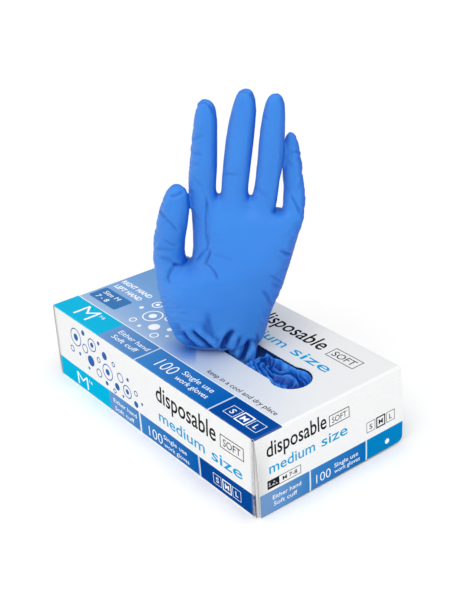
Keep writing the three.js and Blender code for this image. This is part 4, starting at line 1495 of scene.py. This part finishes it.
def build_standing_glove():
    glove = new_object("standing_glove_film", standing_glove_form())
    modify(glove, "REMESH", mode="VOXEL", voxel_size=0.00078, adaptivity=0.0)
    apply_modifiers(glove)
    smooth(glove.data, 7, 0.5)
    even_out_hand(glove.data)
    slacken(glove.data)
    # open cuff inside the carton, below this height in metres, then the film's thickness
    work = bmesh.new()
    work.from_mesh(glove.data)
    low = [f for f in work.faces if f.calc_center_median().z < 0.0497]
    bmesh.ops.delete(work, geom=low, context="FACES")
    loose = [v for v in work.verts if not v.link_faces]
    bmesh.ops.delete(work, geom=loose, context="VERTS")
    work.to_mesh(glove.data)
    work.free()
    modify(glove, "SOLIDIFY", thickness=0.00028, offset=-1.0, use_rim=True,
           use_quality_normals=True)
    apply_modifiers(glove)
    dress(glove, STANDING_FILM)
    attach(glove, "standing_glove")
    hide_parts("standing_glove")


build_standing_glove()


# ------------------------------------------------------------------ crumpled film in the slot
SIM_SCALE = 20.0                        # the cloth is simulated this many times larger
SIM_FRAMES = 34
FILM_STEP = 0.75


def film_grid(x0, x1, inset):
    """x, y, distance inside the edge and faces of the grid that fills the slot from x0 to x1."""
    xs, ys = np.arange(x0, x1 + 0.01, FILM_STEP), np.arange(-SLOT_R, SLOT_R + 0.01, FILM_STEP)
    x, y = (g.ravel() for g in np.meshgrid(xs, ys, indexing="ij"))
    inner = np.minimum(slot_margin(x, y, inset), np.minimum(x - x0, x1 - x))
    keep = inner > -FILM_STEP * 0.5
    n = len(ys)
    faces = []
    for i in range(len(xs) - 1):
        for k in range(n - 1):
            q = [i * n + k, (i + 1) * n + k, (i + 1) * n + k + 1, i * n + k + 1]
            if all(keep[q]):
                faces.append(q)
    used = np.zeros(len(x), bool)
    used[np.array(faces).ravel()] = True
    index = np.cumsum(used) - 1
    return x[used], y[used], inner[used], [[int(index[v]) for v in q] for q in faces]


def border_of(faces):
    count = {}
    for q in faces:
        for a, b in zip(q, q[1:] + q[:1]):
            key = (min(a, b), max(a, b))
            count[key] = count.get(key, 0) + 1
    return sorted({v for pair, c in count.items() if c == 1 for v in pair})


def grow(obj, border, z_edge, ceiling, growth):
    """Grows the sheet between a floor and a ceiling until it buckles into folds."""
    obj.vertex_groups.new(name="pin").add(border, 1.0, "REPLACE")
    walls = []
    for z, order in ((z_edge - 0.2, 1), (ceiling, -1)):
        mesh = bpy.data.meshes.new("wall")
        corners = [(-60, -60), (140, -60), (140, 60), (-60, 60)][::order]
        mesh.from_pydata([[c * MM * SIM_SCALE for c in (a, b, z)] for a, b in corners], [],
                         [[0, 1, 2, 3]])
        wall = new_object("wall", mesh)
        modify(wall, "COLLISION")
        assign(wall.collision, thickness_outer=0.004, cloth_friction=4.0, damping=0.6)
        walls.append(wall)
    cloth = modify(obj, "CLOTH")
    assign(cloth.settings, quality=6, mass=0.25, tension_stiffness=22.0,
           compression_stiffness=22.0, shear_stiffness=8.0, bending_model="ANGULAR",
           bending_stiffness=0.9, bending_damping=0.3, tension_damping=4.0,
           compression_damping=4.0, air_damping=3.0, vertex_group_mass="pin",
           pin_stiffness=1.0, shrink_min=-growth, shrink_max=-growth)
    cloth.settings.effector_weights.gravity = 0.0
    assign(cloth.collision_settings, use_collision=True, distance_min=0.004,
           use_self_collision=True, self_distance_min=0.006, collision_quality=2)
    assign(cloth.point_cache, frame_start=1, frame_end=SIM_FRAMES)
    for f in range(1, SIM_FRAMES + 1):
        scene.frame_set(f)
    apply_modifiers(obj)
    scene.frame_set(1)
    for wall in walls:
        bpy.data.objects.remove(wall)


def keep_in_slot(points, x0, x1, inset, z_edge, ceiling):
    margin = slot_margin(points[:, 0], points[:, 1], inset - 0.25)
    axis = np.c_[np.clip(points[:, 0], ROUND_X0, ROUND_X1), np.zeros(len(points))]
    d = axis - points[:, :2]
    d /= np.maximum(np.linalg.norm(d, axis=1), 1e-6)[:, None]
    points[:, :2] += d * np.clip(-margin, 0, None)[:, None]
    points[:, 0] = np.clip(points[:, 0], x0 - 0.3, x1 + 0.3)
    points[:, 2] = np.clip(points[:, 2], z_edge - 0.2, ceiling)


def face_up(obj):
    if normals_of(obj.data)[:, 2].mean() < 0:
        obj.data.flip_normals()


def hang_skirt(obj, foot):
    """Hangs the film's edge down to the height foot, in loose pleats."""
    work = bmesh.new()
    work.from_mesh(obj.data)
    edges = [q for q in work.edges if q.is_boundary]
    for row in range(1, 5):
        made = bmesh.ops.extrude_edge_only(work, edges=edges)["geom"]
        verts = [q for q in made if isinstance(q, bmesh.types.BMVert)]
        edges = [q for q in made if isinstance(q, bmesh.types.BMEdge) and q.is_boundary]
        # tops: the place on the film's edge that each new point hangs from
        if row == 1:
            middle = np.mean([q.co[:2] for q in verts], axis=0)
            tops = {q: q.co.copy() for q in verts}
        else:
            tops = {q: min(tops.values(),
                           key=lambda r: (r.x - q.co.x) ** 2 + (r.y - q.co.y) ** 2)
                    for q in verts}
        t = row / 4
        for q in verts:
            at = tops[q]
            drop = max(at.z - foot * MM, 0.3 * MM)
            a = math.atan2(at.y - middle[1], (at.x - middle[0]) * 0.4)
            pleat = 1.3 + 0.9 * math.sin(a * 11) + 0.3 * math.sin(a * 23 + 1)
            inward = MM * min(1.0, drop / MM / 3) * math.sin(math.pi * t) * pleat
            d = Vector((middle[0] - at.x, middle[1] - at.y, 0)).normalized()
            q.co = Vector((at.x, at.y, at.z - drop * t)) + d * inward
    bmesh.ops.recalc_face_normals(work, faces=work.faces)
    work.to_mesh(obj.data)
    work.free()
    face_up(obj)


def no_lift(x, y):
    return 0 * x


def crumpled_film(name, x0, x1, inset, z_edge, z_top, ceiling, growth, seed, lead=2.6, fold=1.2,
                  lift=no_lift, pockets=(), lip=False, skirt=None):
    """A sheet of film, too large for its place in the slot between x0 and x1.

    z_edge, z_top: heights of its edge and middle. lead: width of the rise from the edge.
    fold: height of its waves. lift(x, y): 0..1, how far the edge is raised to the ceiling.
    pockets: hollows (x, y, half length, half width, depth). lip: a smooth part near the right.
    skirt: the height that its edge hangs down to.
    """
    x, y, inner, faces = film_grid(x0, x1, inset)
    p = np.c_[x, y, np.zeros(len(x))]
    z = (z_edge + (z_top - z_edge) * ease(-0.5, lead, inner)
         + 0.4 * noise_at(p, 0.11, seed))
    sweep = 2.4 * noise_at(p, 0.055, seed + 1) + 0.9 * noise_at(p, 0.14, seed + 2)
    wave = np.sin(math.pi * (y / 5.2 + 0.05 * (x - x0)) + 2.3 * sweep)
    smooth_lip = ease(5.6, 4.6, inner) * ease(72, 77, x) * ease(5, 1, y) if lip else 0 * x
    z += fold * ease(0.3, 2.5, inner) * (1.0 - 2.0 * np.abs(wave) ** 0.8) * (1 - smooth_lip)
    for px, py, rx, ry, deep in pockets:
        z -= deep * np.exp(-((x - px) / rx) ** 2 - ((y - py) / ry) ** 2) * (1 - smooth_lip)
    z = z * (1 - smooth_lip) + (ceiling - 0.9 - 0.12 * inner) * smooth_lip
    z = np.clip(z, z_edge, ceiling - 0.3)
    border = border_of(faces)
    rim = z_edge + (ceiling - 0.5 - z_edge) * np.clip(lift(x, y), 0, 1)
    z = z + (rim - z_edge) * ease(lead + 1.0, 0.0, inner)
    z = np.clip(z, z_edge, ceiling - 0.3)
    z[border] = rim[border]
    points = np.c_[x, y, z]
    mesh = bpy.data.meshes.new(name)
    mesh.from_pydata((points * MM * SIM_SCALE).tolist(), [], faces)
    obj = new_object(name, mesh)
    grow(obj, border, z_edge, ceiling, growth)
    points = coords(obj.data) / SIM_SCALE
    if not np.isfinite(points).all():
        raise RuntimeError(f"{name}: the film's simulation went wrong")
    keep_in_slot(points, x0, x1, inset, z_edge, ceiling)
    set_coords(obj.data, points)
    smooth(obj.data, 1, 0.25)
    face_up(obj)
    if skirt is not None:
        hang_skirt(obj, skirt)
    # painted shade: the lower the film lies under the ceiling, the darker; stored as "fold"
    low = ease(ceiling - 1.8, ceiling - 6.0, coords(obj.data)[:, 2])
    point_attribute(obj.data, "fold", "FLOAT", low)
    modify(obj, "SUBSURF", levels=1, render_levels=1)
    modify(obj, "SOLIDIFY", thickness=0.0003, offset=-1.0)
    apply_modifiers(obj)
    dress(obj, CRUMPLED_FILM)
    return obj


def next_glove_lift(x, y):
    """The edge is raised along the back and at the right."""
    return (ease(-2, 4, y) * (0.55 + 0.45 * ease(48, 58, x))
            + ease(76, 84, x) * ease(-12, -4, y) + ease(68, 78, x) * 0.6)


SKIRT_Z = 48.7
next_glove = crumpled_film(
    "next_glove_film", x0=43.0, x1=95.8, inset=0.6, z_edge=48.8, z_top=57.2, ceiling=59.6,
    growth=0.20, seed=41, lead=1.6, fold=2.2, lip=True, skirt=SKIRT_Z,
    pockets=((70.5, -5.2, 6.0, 2.4, 4.4), (50.5, 5.5, 4.0, 2.0, 4.5), (60.5, 8.0, 2.0, 1.5, 3.5),
             (84.5, 1.5, 2.4, 2.0, 3.5)),
    lift=next_glove_lift)
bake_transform(next_glove)
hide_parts("next_glove")

third_glove = crumpled_film("third_glove_film", x0=-15.6, x1=6.6, inset=0.8, z_edge=50.0,
                            z_top=55.5, ceiling=58.6, growth=0.28, seed=51)
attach(third_glove, "carton")
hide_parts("third_glove")


# ------------------------------------------------------------------ packed gloves
def finish_packed(obj, node, sharp_deg):
    dress(obj, SHADED_PACKED_FILM, sharp_deg)
    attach(obj, "carton")
    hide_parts(node)


def stack_top_glove():
    obj = new_object("stack_top_glove_film", NODES["stack_top_glove"].data.copy())
    modify(obj, "SUBSURF", subdivision_type="SIMPLE", levels=2, render_levels=2)
    apply_modifiers(obj)
    mostly_up = normals_of(obj.data) * np.array([0.15, 0.15, 1.0])
    points = crumple(coords(obj.data), mostly_up, 0.45, 0.07, seed=61)
    points[:, 2] = np.clip(points[:, 2], edge("stack_top_glove", 0, 2) - 0.1,
                           HEIGHT - BOARD - 1.6)
    set_coords(obj.data, points)
    finish_packed(obj, "stack_top_glove", sharp_deg=60)


def packed_pair(k):
    """A flat glove whose cut edges wander in and out a little."""
    node = f"packed_gloves_{k:02d}"
    obj = new_object(f"packed_glove_pair_{k:02d}", NODES[node].data.copy())
    modify(obj, "BEVEL", width=0.00035, segments=2, limit_method="ANGLE",
           angle_limit=math.radians(40))
    apply_modifiers(obj)
    points, flat_normals = coords(obj.data), normals_of(obj.data)
    flat_normals[:, 2] = 0
    wander = noise_at(points, 0.07, 70 + k) * 0.9 + noise_at(points, 0.3, 170 + k) * 0.25
    set_coords(obj.data, points - flat_normals * np.clip(wander + 0.4, 0, 1.4)[:, None])
    finish_packed(obj, node, sharp_deg=35)


stack_top_glove()
for k in range(1, 25):
    packed_pair(k)


# ------------------------------------------------------------------ stage, light and camera
def build_floor():
    half, z = 4, -0.0002                # metres
    mesh = bpy.data.meshes.new("floor")
    mesh.from_pydata([(-half, -half, z), (half, -half, z), (half, half, z), (-half, half, z)],
                     [], [[0, 1, 2, 3]])
    mesh.materials.append(Shader("floor_pale").set(Base_Color=srgb("FFFFFF"), Roughness=0.7))
    new_object("floor", mesh)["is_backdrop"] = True


def build_world():
    """White surroundings, brightest towards the front right and above."""
    world = bpy.data.worlds.new("studio")
    scene.world = world
    world.use_nodes = True
    tree = world.node_tree
    direction = tree.nodes.new("ShaderNodeTexCoord")
    towards = tree.nodes.new("ShaderNodeVectorMath")
    towards.operation = "DOT_PRODUCT"
    towards.inputs[1].default_value = (0.50, -0.68, 0.53)
    tree.links.new(direction.outputs["Generated"], towards.inputs[0])
    brightness = tree.nodes.new("ShaderNodeMapRange")
    brightness.interpolation_type = "SMOOTHSTEP"
    for key, value in (("From Min", -0.7), ("From Max", 0.7), ("To Min", 0.20), ("To Max", 0.80)):
        brightness.inputs[key].default_value = value
    tree.links.new(towards.outputs["Value"], brightness.inputs[0])
    background = tree.nodes["Background"]
    tree.links.new(brightness.outputs[0], background.inputs[1])
    background.inputs[0].default_value = (1.0, 0.995, 0.985, 1)


def sun(name, towards, strength, angle):
    """towards: the direction the light comes from. angle: its spread in degrees."""
    light = bpy.data.lights.new(name, "SUN")
    light.energy = strength
    light.angle = math.radians(angle)
    obj = new_object(name, light)
    obj.location = Vector(towards) * 0.6
    obj.rotation_euler = (-Vector(towards)).to_track_quat("-Z", "Y").to_euler()


def build_camera():
    azimuth, elevation, roll = (math.radians(a) for a in (52.2485, 27.8311, -2.5263))
    back = Vector((math.sin(azimuth) * math.cos(elevation),
                   -math.cos(azimuth) * math.cos(elevation), math.sin(elevation)))
    right = (-back).cross(Vector((0, 0, 1))).normalized()
    up = right.cross(-back)
    rolled_right = math.cos(roll) * right + math.sin(roll) * up
    rolled_up = -math.sin(roll) * right + math.cos(roll) * up
    camera = bpy.data.cameras.new("camera")
    assign(camera, sensor_fit="VERTICAL", sensor_height=36.0, lens=62.4543158,
           clip_start=0.01, clip_end=20)
    pose = Matrix((rolled_right, rolled_up, back)).transposed().to_4x4()
    pose.translation = Vector((0.529200, -0.390690, 0.430147))      # metres
    obj = bpy.data.objects.new("camera", camera)
    obj.matrix_world = pose
    scene.collection.objects.link(obj)
    scene.camera = obj


build_floor()
build_world()
sun("key", (0.26, -0.44, 0.86), strength=0.80, angle=45)
sun("top", (0.05, 0.1, 1.0), strength=0.66, angle=80)
build_camera()

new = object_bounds()
flat = lambda b: [[float(c) for c in corner] for corner in b]
{"cad": flat(cad_bounds), "visual": flat(new)}
